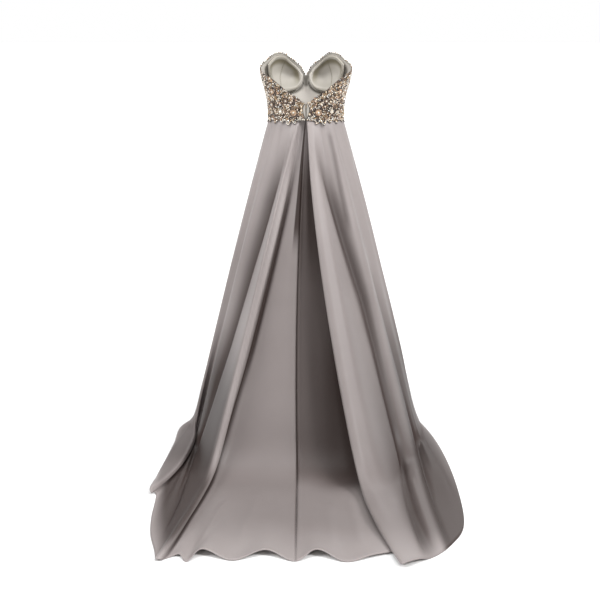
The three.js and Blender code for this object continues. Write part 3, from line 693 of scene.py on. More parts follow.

# %% Shade painted into deep or sheltered places
# Painted light on an even stretch of cloth, kept below 1 so that a ridge can be painted lighter.
FULL_LIGHT = 0.9  # an even stretch of cloth, so that a ridge can gain light
SHELTERED = [
    # first fold and its softness, last fold and its softness, the same for the levels, share of light painted
    # out of the colour (below 0, painted light)
    (-1, 0.1, 48, 0.1, 0.32, 0.6, 1.85, 0.6, 0.26),  # the whole skirt, away from the light at its top
    (-1, 0.1, 48, 0.1, 0.93, 0.3, 1.7, 0.3, 0.12),  # and where it first lies on the floor
    (-0.15, 0.3, 4.9, 0.3, 0.12, 0.2, 1.09, 0.22, 0.72),  # right half of the pleat, under the panel's edge
    (-0.15, 0.3, 4.9, 0.3, 0.0, 0.1, 0.42, 0.2, 0.5),  # its narrow top
    (1.8, 3.0, 4.9, 0.3, 0.66, 0.3, 1.19, 0.16, 0.72),  # and its deepest part
    (45.9, 0.1, 47.5, 0.1, -0.1, 0.1, 0.36, 0.1, 0.95),  # narrow slot at the top of the pleat
    (41.5, 0.6, 47.9, 0.1, 0.25, 0.3, 1.2, 0.3, 0.15),  # left half of the pleat
    (41.5, 0.6, 47.9, 0.1, 0.95, 0.08, 1.03, 0.08, 0.06),  # where it turns onto the floor
    (8.1, 1.4, 9.6, 1.4, 0.7, 0.4, 1.9, 0.4, 0.3),  # the panel where it turns down into its valley
    (8.6, 0.8, 11.0, 0.8, 0.85, 0.4, 1.9, 0.2, 0.5),  # the ridge beside the valley, as it comes to the floor
    (10.3, 0.7, 14.2, 3.4, 0.66, 0.36, 2.2, 0.4, 0.86),  # lower right side, which turns away from the room
    (30.5, 3.0, 36.0, 1.0, 0.85, 0.4, 1.92, 0.12, 0.45),  # the upper flap
    (36.4, 0.5, 39.95, 0.4, 0.72, 0.26, 1.12, 0.3, 1.0),  # below the upper flap on the left, in the air
    (36.4, 0.5, 40.3, 0.5, 1.06, 0.3, 1.9, 0.3, 0.9),  # and on the floor
    (30.0, 4.0, 40.0, 0.6, -0.2, 0.2, 0.3, 0.4, -0.1),  # the left hip, in full light
]
painted_light = FULL_LIGHT * (1 - crease_painted_shade)
for fold_1, soft_1, fold_2, soft_2, level_1, level_soft_1, level_2, level_soft_2, loss in SHELTERED:
    inside = band(fold_of_column, fold_1, fold_2, soft_1, soft_2)
    inside = inside * band(row_level, level_1, level_2, level_soft_1, level_soft_2)
    painted_light = painted_light * (1 - loss * inside)
painted_light = np.minimum(painted_light, 1)
print("least light", round(float(painted_light.min()), 2))

# %% Cut the skirt into its three pieces
SATIN_THICKNESS = 0.0011
SEAM_HALF_GAP = 0.00018


def skirt_piece(name, first, last, node):
    columns = np.arange(first * STEPS, last * STEPS + 1) % skirt_face.shape[1]
    face = skirt_face[:, columns].copy()
    face[:, 0] += unit(face[:, 1] - face[:, 0]) * SEAM_HALF_GAP
    face[:, -1] += unit(face[:, -2] - face[:, -1]) * SEAM_HALF_GAP
    rows, count = face.shape[:2]
    made = add_object(name, face.reshape(-1, 3), grid_faces(rows, count).tolist(), [satin, satin_back])
    set_painted_light(made, painted_light[:, columns])
    thick = made.modifiers.new("thickness", "SOLIDIFY")
    thick.thickness = SATIN_THICKNESS
    thick.offset = -1
    thick.material_offset = 1
    thick.material_offset_rim = 0
    place(made, "skirt_satin", node)
    down, across = face[1:, :-1] - face[:-1, :-1], face[:-1, 1:] - face[:-1, :-1]
    area = np.linalg.norm(np.cross(down, across), axis=2).sum()
    hem = np.linalg.norm(np.diff(face[-1], axis=0), axis=1).sum()
    longest = np.linalg.norm(np.diff(face, axis=0), axis=2).sum(0).max()
    print(name, "area", round(area, 3), "hem", round(hem, 3), "longest line", round(longest, 3))
    return made


skirt_right = skirt_piece("skirt_back_right_cloth", 0, RIGHT_SEAM, "skirt_back_right")
skirt_front = skirt_piece("skirt_front_cloth", RIGHT_SEAM, LEFT_SEAM, "skirt_front")
skirt_left = skirt_piece("skirt_back_left_cloth", LEFT_SEAM, len(FOLDS), "skirt_back_left")

# %% [markdown]
# ## Bodice
#
# The bodice is five panels of boned satin under net. It could be one shell cut along its seams, but a
# maker cuts it panel by panel. The boning holds them smooth, so each panel is a plain shell on the figure,
# and the beads that cover it come later as pieces of their own.

# %% Panels
BODICE_INSIDE = 0.9
BODICE_NET = 1.7
WAIST_COVER = 2
CLOSURE_ANGLE = 6.5
SIDE_SEAM = 92
CUP_SEAM = 146
SEAM_DEGREES = 0.08
PANEL_ROWS = 30
DROPS = [
    # angle, reach below the waist, spread
    (17, 12, 3),
    (27, 16, 3.4),
    (38, 9, 3),
    (52, 11, 3.4),
    (68, 8, 3.2),
    (83, 10, 3.2),
]


def lower_edge(angle):
    """The net ends in scallops that hang over the top of the skirt at the back."""
    turned = from_back(angle)
    reach = np.max([drop * bell(turned - at, spread) for at, drop, spread in DROPS], axis=0)
    return -WAIST_COVER - np.where(turned < SIDE_SEAM, reach, 0)


def panel_grid(start, end, rows, columns, top, bottom):
    angle = np.linspace(start + SEAM_DEGREES, end - SEAM_DEGREES, columns)[None, :] * np.ones((rows, 1))
    share = np.linspace(0, 1, rows)[:, None]
    height = top(angle) * (1 - share) + bottom(angle) * share
    return angle, height


def wall(name, angle, height, outer, inner, outside, inside):
    """A shell of cloth on the figure, between two distances from it."""
    return shell(name, body_point(angle, height, outer), body_point(angle, height, inner), outside, inside)


def panel(name, start, end, columns):
    angle, height = panel_grid(start, end, PANEL_ROWS, columns, upper_edge, lower_edge)
    made = wall(name + "_cloth", angle, height, BODICE_NET, BODICE_INSIDE, net, back_cloth)
    return place(made, "beaded_net", name)


PANELS = [
    # name, first angle, last angle, columns
    ("bodice_back_right", CLOSURE_ANGLE, SIDE_SEAM, 60),
    ("bodice_side_front_right", SIDE_SEAM, CUP_SEAM, 40),
    ("bodice_centre_front", CUP_SEAM, 360 - CUP_SEAM, 50),
    ("bodice_side_front_left", 360 - CUP_SEAM, 360 - SIDE_SEAM, 40),
    ("bodice_back_left", 360 - SIDE_SEAM, 360 - CLOSURE_ANGLE, 60),
]
panels = {row[0]: panel(*row) for row in PANELS}
print("panels:", list(panels))

# %% [markdown]
# ## Front lining and cups
#
# Through the low back one sees the inside of the front: pale lining, and two moulded foam cups sewn in
# along the upper edge. Each cup is a closed pad whose rim stands off the lining, so it throws a shadow
# below itself. That shadow and the shade inside each cup are deepened with shade painted into the colour
# through the mesh attribute. A cup could be a piece of a ball, but a grid laid on the figure follows the
# upper edge of the gown.

# %% Lining
LINING_OUTSIDE = -1.2
LINING_INSIDE = -2.2
LINING_FOOT = 1.0
LINING_DROP = 3.0
LINING_ROWS, LINING_COLUMNS = 40, 120


def below_edge(drop):
    return lambda angle: upper_edge(angle) - drop


def at_height(height):
    return lambda angle: height


lining_angle, lining_height = panel_grid(SIDE_SEAM, 360 - SIDE_SEAM, LINING_ROWS, LINING_COLUMNS,
                                         below_edge(LINING_DROP), at_height(LINING_FOOT))
lining = wall("front_lining_cloth", lining_angle, lining_height, LINING_OUTSIDE, LINING_INSIDE,
              lining_cloth, lining_cloth)
place(lining, "lining", "front_lining")
print("lining grid:", lining_angle.shape)

# %% Outline of a cup
PAD_ANGLE, PAD_HALF_SPAN = 144, 33.8
PAD_MIDDLE, PAD_LOWEST, PAD_SQUARENESS = 150, 82, 3
PAD_BELOW_EDGE, PAD_LEAST = 6, 8
PAD_ROWS, PAD_COLUMNS = 48, 64
PAD_SEAM_TOP, PAD_SEAM_LEAN = 153, 17
REACH_POWER = 5


def pad_low(across, top):
    full = (1 - np.minimum(np.abs(across), 1) ** PAD_SQUARENESS) ** (1 / PAD_SQUARENESS)
    return np.minimum(PAD_MIDDLE - (PAD_MIDDLE - PAD_LOWEST) * full, top - PAD_LEAST)


def pad_places():
    """Every point of a cup: across (1 at the centre front), share of the way down, angle, height."""
    across = np.linspace(-1, 1, PAD_COLUMNS)[None, :] * np.ones((PAD_ROWS, 1))
    angle = PAD_ANGLE + PAD_HALF_SPAN * across
    top = upper_edge(angle) - PAD_BELOW_EDGE
    share = np.linspace(0, 1, PAD_ROWS)[:, None] * np.ones((1, PAD_COLUMNS))
    return across, share, angle, top * (1 - share) + pad_low(across, top) * share


def pad_seam(share):
    """Angle of the cup's own seam, which leans outward on its way down."""
    return PAD_SEAM_TOP - PAD_SEAM_LEAN * share


def pad_reach(across, share):
    """0 in the middle of the cup and 1 all along its rim."""
    return (np.abs(across) ** REACH_POWER + np.abs(2 * share - 1) ** REACH_POWER) ** 0.2


print("a cup's seam runs from", pad_seam(0), "to", pad_seam(1), "degrees round the figure")

# %% Depth of a cup
PAD_STAND_OFF, PAD_CLEARANCE, FOAM = 11, 3, 5
ROLL_HEIGHT, ROLL_PLACE, ROLL_WIDTH = 3.5, 0.93, 0.07
SEAM_DEPTH, SEAM_WIDTH = 0.9, 0.7


def pad_grid(sign, depth):
    """One face of a cup: depth 0 is the face at the lining and 1 the face at the wearer."""
    across, share, angle, height = pad_places()
    down = np.maximum(0, PAD_MIDDLE - height) / (PAD_MIDDLE - PAD_LOWEST)
    away = PAD_STAND_OFF * np.minimum(1, np.hypot(across, down)) ** 3
    seam = SEAM_DEPTH * bell(angle - pad_seam(share), SEAM_WIDTH)
    roll = ROLL_HEIGHT * bell(pad_reach(across, share) - ROLL_PLACE, ROLL_WIDTH)
    offset = LINING_INSIDE - PAD_CLEARANCE - away - depth * (FOAM + roll - 2 * seam) - seam * (1 - depth)
    return body_point(sign * angle, height, offset)


print("a cup measures", np.ptp(pad_grid(1, 1), axis=(0, 1)).round(3))

# %% Shade painted inside a cup
DISH_SHADE, DISH_PLACE, DISH_SOFTNESS = 0.9, 0.6, 0.3
DISH_LEAST, DISH_GAIN = 0.15, 0.85
RIM_PLACE, RIM_SOFTNESS, RIM_LOSS = 0.85, 0.06, 0.35
SEAM_SHADE, SEAM_SHADE_WIDTH, SEAM_FROM, SEAM_TO = 0.75, 0.6, 0.22, 0.97
AWAY_AT_TOP, AWAY_SIDEWAYS, AWAY_SOFTNESS = 0.9, 0.8, 1.4


def pad_shade():
    """Shade painted into a cup: on the steep wall just inside the rim, most under the upper rim and towards
    its sides, along its seam, and on the rim itself except at the centre front.
    """
    across, share, angle, height = pad_places()
    reach = pad_reach(across, share)
    turned_away = ramp(AWAY_AT_TOP - 2 * share + AWAY_SIDEWAYS * np.abs(across), 0, AWAY_SOFTNESS)
    dish = band(reach, DISH_PLACE, RIM_PLACE, DISH_SOFTNESS, RIM_SOFTNESS)
    dish_shade = DISH_SHADE * dish * (DISH_LEAST + DISH_GAIN * turned_away)
    seam_line = SEAM_SHADE * bell(angle - pad_seam(share), SEAM_SHADE_WIDTH)
    seam_line = seam_line * band(share, SEAM_FROM, SEAM_TO, 0.1)
    rim_shade = RIM_LOSS * ramp(reach, 0.9, 0.1) * (1 - ramp(across, 0.8, 0.2))
    return (1 - dish_shade) * (1 - seam_line) * (1 - rim_shade)


print("least light in a cup", round(float(pad_shade().min()), 2))

# %% Cups
PAD_EDGE_ROUNDING = 0.0018


def cup(name, sign, node):
    """A cup, where sign is 1 on the right and -1 on the left, which mirrors its columns."""
    outer, inner, shade = (grid[:, ::sign] for grid in (pad_grid(sign, 0), pad_grid(sign, 1), pad_shade()))
    made = shell(name, outer, inner, foam_cover, foam_cover)
    # The mesh attribute carries the shade painted inside the cup.
    set_painted_light(made, [shade, shade])
    soft = made.modifiers.new("rounded rim", "BEVEL")
    soft.width = PAD_EDGE_ROUNDING
    soft.segments = 3
    soft.limit_method = "ANGLE"
    return place(made, "lining", node)


cups = [cup("cup_right_pad", 1, "cup_right"), cup("cup_left_pad", -1, "cup_left")]
print("cups:", len(cups))

# %% Shadow of the cups painted on the lining
GAP_SHADE, GAP_HALF_ANGLE = 0.8, 4.0
GAP_FROM, GAP_SOFTNESS = PAD_LOWEST + 20, 10
RIM_SHADE, RIM_DROP, RIM_SPREAD = 1.0, 3.2, 4.2
BEHIND_SHADE, BEHIND_FROM, BEHIND_SOFTNESS = 0.35, PAD_LOWEST + 8, 20
SIDE_SOFTNESS = 0.1
# Painted shadow under each cup's rim, and painted shade in the gap between the cups and behind them, carried
# to the lining's colour by the mesh attribute.
lining_across = (from_back(lining_angle) - PAD_ANGLE) / PAD_HALF_SPAN
under_rim = lining_height - pad_low(lining_across, upper_edge(lining_angle) - PAD_BELOW_EDGE) + RIM_DROP
below_rim = RIM_SHADE * bell(under_rim, RIM_SPREAD) * band(lining_across, -1, 1, SIDE_SOFTNESS)
between = GAP_SHADE * bell(from_back(lining_angle) - 180, GAP_HALF_ANGLE)
between = between * ramp(lining_height, GAP_FROM, GAP_SOFTNESS)
behind = BEHIND_SHADE * ramp(lining_height, BEHIND_FROM, BEHIND_SOFTNESS)
behind = behind * band(lining_across, -1.4, 0.95, SIDE_SOFTNESS)
lining_share = (1 - below_rim) * (1 - between) * (1 - behind)
set_painted_light(lining, [lining_share, lining_share])
print("least light on the lining", round(float(lining_share.min()), 2))

# %% [markdown]
# ## Closure
#
# The gown closes at the centre back with a concealed zip. Two satin lips swell over it, with its tape
# behind them. The lips could be bent tubes, but a swelling in a grid lets them run out flat under the net.

# %% Lips
LIP_ROWS, LIP_COLUMNS = 36, 24
LIP_BASE, LIP_SWELL, LIP_ROUNDNESS = 1.4, 3.2, 0.6
LENS_TOP = 56
LENS_LEAST, LENS_WIDEST = 1.0, 5.4
LENS_LEAN = 1.4
SLIT_LOSS, FOOT_LOSS, SLIT_SPREAD = 1.0, 0.9, 0.8


def lens(height):
    """Half the angle over which the lips show between the beads: narrow at both ends."""
    share = np.clip((np.asarray(height, float) + WAIST_COVER) / (LENS_TOP + WAIST_COVER), 0, 1)
    return LENS_LEAST + (LENS_WIDEST - LENS_LEAST) * np.sin(np.pi * share**LENS_LEAN)


def lip(name, sign, node):
    angle, height = panel_grid(0, CLOSURE_ANGLE, LIP_ROWS, LIP_COLUMNS, below_edge(LINING_DROP),
                               at_height(-WAIST_COVER))
    half = lens(height) / 2
    swell = LIP_SWELL * np.clip(1 - ((angle - half) / half) ** 2, 0, 1) ** LIP_ROUNDNESS
    # Painted shade in the slit between the lips and along their outer foot.
    shade = (1 - SLIT_LOSS * bell(angle, SLIT_SPREAD)) * (1 - FOOT_LOSS * bell(angle - 2 * half, SLIT_SPREAD))
    outer = body_point(sign * angle, height, LIP_BASE + swell)
    inner = body_point(sign * angle, height, BODICE_INSIDE)
    outer, inner, shade = (grid[:, ::sign] for grid in (outer, inner, shade))
    made = shell(name, outer, inner, lip_cloth, lip_cloth)
    set_painted_light(made, [shade, shade])
    return place(made, "skirt_satin", node)


lips = [
    lip("closure_lip_right_cloth", 1, "closure_lip_right"),
    lip("closure_lip_left_cloth", -1, "closure_lip_left"),
]
print("lips:", len(lips))

# %% Tape
TAPE_HALF_ANGLE, TAPE_DROP = 4.6, 6.0
TAPE_ROWS, TAPE_COLUMNS = 20, 16
angle, height = panel_grid(-TAPE_HALF_ANGLE, TAPE_HALF_ANGLE, TAPE_ROWS, TAPE_COLUMNS, below_edge(TAPE_DROP),
                           at_height(LINING_FOOT))
tape = wall("zip_tape_cloth", angle, height, LINING_OUTSIDE, LINING_INSIDE, tape_cloth, tape_cloth)
place(tape, "zip_tape", "zip_tape")
print("tape grid:", angle.shape)

# %% [markdown]
# ## Beads
#
# A couture bodice carries thousands of beads. Each kind is modelled once as a small mesh, copied to
# every place as arrays of points, and joined into one mesh for each panel. An object for every bead would
# be easier to move, but thousands of objects are slow to load and to draw.

# %% One bead of each kind
def bead_ball(rings=5, sides=8):
    """A ball of radius 1 with its poles along Z."""
    points = [(0, 0, 1)]
    for i in range(1, rings):
        a = math.pi * i / rings
        for j in range(sides):
            b = 2 * math.pi * j / sides
            points.append((math.sin(a) * math.cos(b), math.sin(a) * math.sin(b), math.cos(a)))
    points.append((0, 0, -1))
    faces = [(0, 1 + j, 1 + (j + 1) % sides) for j in range(sides)]
    for i in range(rings - 2):
        a, b = 1 + i * sides, 1 + (i + 1) * sides
        faces += [(a + j, b + j, b + (j + 1) % sides) for j in range(sides)]
        faces += [(a + j, b + (j + 1) % sides, a + (j + 1) % sides) for j in range(sides)]
    last = len(points) - 1
    a = last - sides
    faces += [(a + j, last, a + (j + 1) % sides) for j in range(sides)]
    return np.array(points), np.array(faces)


def cut_stone(sides=8, table=0.55, depth=0.7, back_width=0.8, back_depth=0.5):
    """A faceted stone of radius 1: flat table, slanted crown and a closed back."""
    turn = 2 * np.pi * np.arange(sides) / sides
    ring = np.stack([np.cos(turn), np.sin(turn), np.zeros(sides)], -1)
    crown = ring * table + [0, 0, depth]
    back = ring * back_width - [0, 0, back_depth]
    points = np.concatenate([ring, crown, back, [[0, 0, depth]], [[0, 0, -back_depth]]])
    faces = []
    for j in range(sides):
        k = (j + 1) % sides
        faces += [(j, k, sides + k), (j, sides + k, sides + j)]
        faces += [(2 * sides + j, 2 * sides + k, k), (2 * sides + j, k, j)]
        faces += [(sides + j, sides + k, 3 * sides), (2 * sides + k, 2 * sides + j, 3 * sides + 1)]
    return points, np.array(faces)


def ring_bead(sides=10, tube=5, width=0.28):
    """A small metal ring of radius 1, used as a stone's setting."""
    points, faces = [], []
    for j in range(sides):
        a = 2 * math.pi * j / sides
        for k in range(tube):
            b = 2 * math.pi * k / tube
            r = 1 + width * math.cos(b)
            points.append((r * math.cos(a), r * math.sin(a), width * math.sin(b)))
    for j in range(sides):
        for k in range(tube):
            a, b = j * tube + k, ((j + 1) % sides) * tube + k
            c, d = ((j + 1) % sides) * tube + (k + 1) % tube, j * tube + (k + 1) % tube
            faces += [(a, b, c), (a, c, d)]
    return np.array(points), np.array(faces)


BALL, STONE, RING = bead_ball(), cut_stone(), ring_bead()
print("faces of a ball, a stone, a ring:", len(BALL[1]), len(STONE[1]), len(RING[1]))

# %% Bead finishes
DARKEST_BEAD, LIGHTEST_BEAD = 0.62, 1.25


def bead_material(name, colour, roughness, metallic, coat=0.0):
    material = bpy.data.materials.new(name)
    material.use_nodes = True
    nodes, links = material.node_tree.nodes, material.node_tree.links
    shader = nodes["Principled BSDF"]
    shader.inputs["Roughness"].default_value = roughness
    shader.inputs["Metallic"].default_value = metallic
    shader.inputs["Coat Weight"].default_value = coat
    each = nodes.new("ShaderNodeNewGeometry")
    shade = nodes.new("ShaderNodeValToRGB")
    shade.color_ramp.elements[0].color = (*[c * DARKEST_BEAD for c in colour], 1)
    shade.color_ramp.elements[1].color = (*[min(1, c * LIGHTEST_BEAD) for c in colour], 1)
    links.new(each.outputs["Random Per Island"], shade.inputs["Fac"])
    links.new(shade.outputs["Color"], shader.inputs["Base Color"])
    return material


BEAD_FINISHES = [
    bead_material("cream_bead", (0.84, 0.74, 0.63), 0.25, 0.0, 0.5),
    bead_material("champagne_bead", (0.52, 0.36, 0.25), 0.25, 0.4),
    bead_material("gold_bead", (0.48, 0.34, 0.19), 0.3, 0.8),
    bead_material("taupe_bead", (0.16, 0.11, 0.085), 0.3, 0.2, 0.3),
    bead_material("dark_bead", (0.022, 0.015, 0.012), 0.2, 0.1, 0.4),
    bead_material("clear_stone", (0.85, 0.8, 0.76), 0.12, 0.3, 0.6),
]
CREAM, CHAMPAGNE, GOLD, TAUPE, DARK, CLEAR = range(6)
print("bead finishes:", len(BEAD_FINISHES))

# %% Gather beads into one mesh
FACET_ANGLE = math.radians(32)


class Tray:
    """Beads waiting to be joined: points, faces and finishes, with room for thousands of copies."""

    def __init__(self):
        self.points, self.faces, self.finishes, self.count = [], [], [], 0

    def add(self, kind, centres, frames, sizes, finish, flat=1.0):
        """frames is (n, 3, 3): out, round and up. sizes is (n, 2) or (n,): half width and half length."""
        shape, faces = kind
        centres = np.atleast_2d(centres)
        sizes = np.asarray(sizes, float).reshape(len(centres), -1)
        wide, tall = sizes[:, 0], sizes[:, -1]
        out, around, up = frames[:, 0], frames[:, 1], frames[:, 2]
        points = (centres[:, None] + shape[None, :, 0, None] * (around * wide[:, None])[:, None]
                  + shape[None, :, 1, None] * (up * tall[:, None])[:, None]
                  + shape[None, :, 2, None] * (out * (np.minimum(wide, tall) * flat)[:, None])[:, None])
        start = self.count + np.arange(len(centres)) * len(shape)
        self.points.append(points.reshape(-1, 3))
        self.faces.append((faces[None] + start[:, None, None]).reshape(-1, 3))
        finish = np.broadcast_to(np.asarray(finish), (len(centres),))
        self.finishes.append(np.repeat(finish, len(faces)))
        self.count += points.shape[0] * points.shape[1]

    def join(self, name, slot_name="beaded_net"):
        made = add_object(name, np.concatenate(self.points), np.concatenate(self.faces).tolist(),
                          BEAD_FINISHES, np.concatenate(self.finishes))
        made.data.set_sharp_from_angle(angle=FACET_ANGLE)
        print(name, "triangles", len(made.data.polygons))
        return place(made, slot_name)


def turned(frames, turn):
    """Turns each frame about its own outward direction."""
    c, s = np.cos(turn)[:, None], np.sin(turn)[:, None]
    around, up = frames[:, 1] * c + frames[:, 2] * s, frames[:, 2] * c - frames[:, 1] * s
    return np.stack([frames[:, 0], around, up], 1)


def spots(angle, height, offset):
    """Places and frames on the figure for beads at these angles and heights."""
    angle, height = np.asarray(angle, float), np.asarray(height, float)
    out, around, up = body_frame(angle, height)
    return body_form(angle, height) + out * offset * MM, np.stack([out, around, up], 1)


# %% [markdown]
# ## Laying out the beading
#
# Large motifs come first, then loose stones, then small beads fill what is left. Each new bead keeps
# clear of those laid before it, so the cover is even but never regular.

# %% Flowers of stones and beads
# Motifs of the back, mirrored: angle, height, radius in millimetres, petals, finish of the petals
MOTIFS = [
    (8.6, 7, 6.5, 6, CREAM),
    (19, 24, 13.5, 13, CHAMPAGNE),
    (31, 62, 10, 10, TAUPE),
    (42, 27, 8.5, 9, CREAM),
    (55, 92, 11, 11, CHAMPAGNE),
    (62, 48, 13.5, 13, TAUPE),
    (74, 118, 9, 9, CREAM),
    (80, 22, 10, 10, GOLD),
    (84, 78, 9, 9, CREAM),
]
FRONT_MOTIFS = [
    (104, 40, 12, 9, GOLD),
    (112, 96, 10, 8, CREAM),
    (122, 150, 11, 8, CHAMPAGNE),
    (130, 62, 12, 9, CLEAR),
    (142, 118, 10, 8, GOLD),
    (150, 176, 9, 7, CREAM),
    (158, 42, 12, 9, CREAM),
    (164, 140, 10, 8, CHAMPAGNE),
    (172, 88, 12, 9, GOLD),
]
STONE_IN_FLOWER, RING_IN_FLOWER, FLOWER_HEART_LIFT = 0.3, 0.34, 1.6
PETALS_TURN = 0.2
PETAL_AT, PETAL_LENGTH, PETAL_LIFT = 0.66, 0.42, 1.4
PETAL_WIDEST, PETALS_ROUND = 0.2, 1.7
TIP_AT, TIP_SIZE, TIP_LIFT = 0.98, 0.1, 1.0
MOTIF_ROOM = 1.02


def round_the_waist(angle):
    """How far an angle reaches round the waist, in millimetres."""
    return math.radians(angle) * WAIST_HALF_WIDTH


def ring_of_spots(angle, height, radius, share, turn, lift):
    """Places in a ring about one point of the figure, each turned to point out of the ring."""
    x, z = np.cos(turn) * radius * share, np.sin(turn) * radius * share
    places, frames = spots(angle + np.degrees(x / WAIST_HALF_WIDTH), height + z, BODICE_NET + lift)
    return places, turned(frames, turn)


def lay_motif(tray, angle, height, radius, petals, finish, taken):
    """A flower: a set stone in the middle, pointed petals round it and small beads between their tips."""
    centre, frames = spots([angle], [height], BODICE_NET + FLOWER_HEART_LIFT)
    heart = CREAM if finish == CLEAR else CLEAR
    tray.add(STONE, centre, frames, [radius * STONE_IN_FLOWER * MM], heart, flat=1.1)
    tray.add(RING, centre, frames, [radius * RING_IN_FLOWER * MM], GOLD, flat=0.8)
    turn = 2 * np.pi * np.arange(petals) / petals + PETALS_TURN
    places, frames = ring_of_spots(angle, height, radius, PETAL_AT, turn, PETAL_LIFT)
    half_length = radius * PETAL_AT * PETAL_LENGTH * MM
    half_width = min(PETAL_WIDEST, PETALS_ROUND / petals) * radius * MM
    tray.add(BALL, places, frames, [(half_length, half_width)] * petals, finish, flat=0.8)
    places, frames = ring_of_spots(angle, height, radius, TIP_AT, turn + np.pi / petals, TIP_LIFT)
    tray.add(BALL, places, frames, [radius * TIP_SIZE * MM] * petals, DARK, flat=1.0)
    taken.append((round_the_waist(angle), height, radius * MOTIF_ROOM))


print("flowers on each half:", len(MOTIFS) + len(FRONT_MOTIFS))

# %% Loose beads between the flowers
BEAD_SIZES = [(3.0, 0.12), (2.3, 0.3), (1.65, 1.0), (1.2, 1.6)]  # radius, share of the tries
BEAD_TRIES = 3400
BEAD_GAP, BEAD_CROWDING = 0.3, 0.92
LEAST_SIZE, SIZE_RANGE = 0.85, 0.3
CLEAR_OF_TOP, CLEAR_OF_FOOT = 0.6, 0.3
CELL = 12.0


def scatter(rng, start, end, taken, keep_in):
    """Throws spots at a panel and keeps those that stay clear of what is laid already."""
    bins = {}

    def remember(x, y, r):
        for i in range(int((x - r) // CELL) - 1, int((x + r) // CELL) + 2):
            for j in range(int((y - r) // CELL) - 1, int((y + r) // CELL) + 2):
                bins.setdefault((i, j), []).append((x, y, r))

    for item in taken:
        remember(*item)
    kept = []
    for size, share in BEAD_SIZES:
        for _ in range(int(BEAD_TRIES * share)):
            angle = start + (end - start) * rng.random()
            top, low = keep_in(angle)
            height = low + (top - low) * rng.random()
            r = size * (LEAST_SIZE + SIZE_RANGE * rng.random())
            if height > top - CLEAR_OF_TOP * r or height < low + CLEAR_OF_FOOT * r:
                continue
            if from_back(angle) < lens(height) + math.degrees(r / WAIST_HALF_WIDTH):
                continue
            x = round_the_waist(angle)
            near = bins.get((int(x // CELL), int(height // CELL)), ())
            if all((x - a) ** 2 + (height - b) ** 2 > (BEAD_CROWDING * (r + c) + BEAD_GAP) ** 2
                   for a, b, c in near):
                remember(x, height, r)
                kept.append((angle, height, r))
    return np.array(kept)


def edge_table(start, end):
    angles = np.linspace(start, end, 200)
    tops, lows = upper_edge(angles), lower_edge(angles)
    return lambda a: (float(np.interp(a, angles, tops)), float(np.interp(a, angles, lows)))


print("tries for a panel:", sum(int(BEAD_TRIES * share) for _, share in BEAD_SIZES))

# %% Rows along the edges
# Columns: edge, height over it, radius and spacing in millimetres, finishes, lift over the net
BACK_TOP_ROW = (upper_edge, -0.3, 1.2, 2.6, [DARK, TAUPE, TAUPE], 0)
SCALLOP_ROW = (lower_edge, 1.8, 2.0, 4.6, [CREAM, CREAM, CLEAR, GOLD], 0.6)
SCALLOP_TRIM = (lower_edge, -0.9, 1.2, 2.5, [DARK, DARK, TAUPE], 0)
FRONT_TOP_ROW = (upper_edge, 2.6, 2.9, 7.4, [CREAM, CHAMPAGNE, CLEAR, TAUPE], -0.4)
BESIDE_ZIP = np.arange(4, 50, 2.1)
BESIDE_ZIP_GAP, BESIDE_ZIP_SIZE = 0.35, 0.95


def edge_row(tray, rng, start, end, row):
    """A row of beads sewn close together along an edge of the panel."""
    edge, over, radius, spacing, finishes, lift = row
    turn = np.linspace(start, end, 400)
    places = body_point(turn, edge(turn) + over, BODICE_NET + lift)
    run = np.concatenate([[0], np.cumsum(np.linalg.norm(np.diff(places, axis=0), axis=1))])
    count = max(2, int(run[-1] / (spacing * MM)))
    turn = np.interp(np.linspace(0, run[-1], count), run, turn)
    places, frames = spots(turn, edge(turn) + over, BODICE_NET + lift)
    sizes = radius * (0.8 + 0.4 * rng.random(count)) * MM
    tray.add(BALL, places, frames, sizes, rng.choice(finishes, count), flat=0.9)


def beads_beside_zip(tray, on_right):
    """Dark beads that follow the lips."""
    side = lens(BESIDE_ZIP) + BESIDE_ZIP_GAP
    places, frames = spots(side if on_right else 360 - side, BESIDE_ZIP, BODICE_NET)
    tray.add(BALL, places, frames, np.full(len(side), BESIDE_ZIP_SIZE * MM), DARK, flat=0.9)


print("beads beside the zip:", len(BESIDE_ZIP))

# %% Bead a panel
STONE_FROM = 2.1
STONE_LIFT, BEAD_LIFT, BEAD_LIFT_RANGE = 1.1, 0.8, 0.8
STONE_MIX = ([CLEAR, CREAM, CHAMPAGNE, TAUPE, DARK], [0.2, 0.26, 0.2, 0.2, 0.14])
RING_MIX = ([GOLD, DARK, CHAMPAGNE], [0.35, 0.4, 0.25])
BEAD_MIX = ([CREAM, CHAMPAGNE, GOLD, TAUPE, DARK, CLEAR], [0.25, 0.15, 0.07, 0.23, 0.26, 0.04])
BACK_EDGE_FROM = 1.2
SCALLOPS_FROM = 3.2


def draw(rng, mix, count):
    return rng.choice(mix[0], count, p=mix[1])


def lay_stones(tray, rng, laid):
    places, frames = spots(laid[:, 0], laid[:, 1], BODICE_NET + STONE_LIFT)
    frames = turned(frames, rng.random(len(laid)) * np.pi)
    stretch = 0.6 + 0.4 * rng.random(len(laid))
    sizes = np.stack([laid[:, 2] * stretch, laid[:, 2]], -1) * MM
    tray.add(STONE, places, frames, sizes, draw(rng, STONE_MIX, len(laid)), flat=0.9)
    tray.add(RING, places, frames, sizes * 1.04, draw(rng, RING_MIX, len(laid)), flat=0.7)


def lay_beads(tray, rng, laid):
    places, frames = spots(laid[:, 0], laid[:, 1], BODICE_NET + BEAD_LIFT)
    places = places + frames[:, 0] * (rng.random(len(laid))[:, None] * BEAD_LIFT_RANGE * MM)
    frames = turned(frames, rng.random(len(laid)) * np.pi)
    stretch = 1 + 0.9 * rng.random(len(laid)) ** 2
    sizes = np.stack([laid[:, 2] * 0.9, laid[:, 2] * stretch], -1) * MM
    tray.add(BALL, places, frames, sizes, draw(rng, BEAD_MIX, len(laid)), flat=0.9)


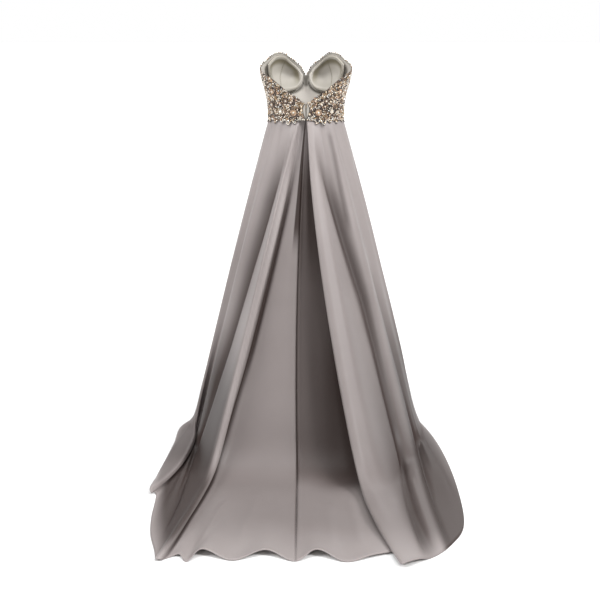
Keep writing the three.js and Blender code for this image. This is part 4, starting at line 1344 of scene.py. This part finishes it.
def bead_panel(start, end, motifs, seed):
    rng = np.random.default_rng(seed)
    tray, taken = Tray(), []
    on_right = start < 180
    at_back = from_back((start + end) / 2) < SIDE_SEAM
    if at_back:
        start, end = (BACK_EDGE_FROM, end) if on_right else (start, 360 - BACK_EDGE_FROM)
    for angle, height, radius, petals, finish in motifs:
        if start < angle < end:
            lay_motif(tray, angle, height, radius, petals, finish, taken)
    laid = scatter(rng, start, end, taken, edge_table(start, end))
    big = laid[:, 2] > STONE_FROM
    lay_stones(tray, rng, laid[big])
    lay_beads(tray, rng, laid[~big])
    if not at_back:
        edge_row(tray, rng, start, end, FRONT_TOP_ROW)
        return tray
    edge_row(tray, rng, start, end, BACK_TOP_ROW)
    beads_beside_zip(tray, on_right)
    start, end = max(start, SCALLOPS_FROM), min(end, 360 - SCALLOPS_FROM)
    edge_row(tray, rng, start, end, SCALLOP_ROW)
    edge_row(tray, rng, start, end, SCALLOP_TRIM)
    return tray


BEAD_SEEDS = {"bodice_back_right": 11, "bodice_side_front_right": 12, "bodice_centre_front": 13,
              "bodice_side_front_left": 14, "bodice_back_left": 15}
all_motifs = MOTIFS + FRONT_MOTIFS
all_motifs = all_motifs + [(360 - a, h, r, n, f) for a, h, r, n, f in all_motifs]
for name, start, end, _ in PANELS:
    bead_panel(start, end, all_motifs, BEAD_SEEDS[name]).join(name + "_beads")

# %% Pull of the zip, with a hook and an eye above it
PULL_LIFT, HOOK_LIFT = 5.0, 4.2
PULL_HEIGHTS = [45, 50.5, 41.5]  # ring of the slider, ring over it, the pull itself
HOOK_ANGLES, HOOK_HEIGHTS = [-1.3, 1.3], [53, 53]
fastening = Tray()
places, frames = spots([0, 0, 0], PULL_HEIGHTS, PULL_LIFT)
fastening.add(RING, places[:2], frames[:2], np.array([1.5, 1.1]) * MM, GOLD, flat=0.8)
fastening.add(BALL, places[2:], frames[2:], np.array([[1.1, 3.0]]) * MM, GOLD, flat=0.6)
places, frames = spots(HOOK_ANGLES, HOOK_HEIGHTS, HOOK_LIFT)
fastening.add(RING, places, frames, np.array([1.3, 1.3]) * MM, TAUPE, flat=0.6)
fastening.join("zip_pull", "zip_tape")

# %% [markdown]
# ## Cloth facts
#
# The sheets of cloth and the pads are gathered here and counted. The skirt's pieces are wide at the hem
# and narrow at the waist, and the panels are shaped too; the skirt's pieces printed their flat area as
# they were cut.

sheets = [skirt_right, skirt_front, skirt_left, lining, tape, *panels.values(), *lips]
print("sheets:", len(sheets), "pads:", len(cups))
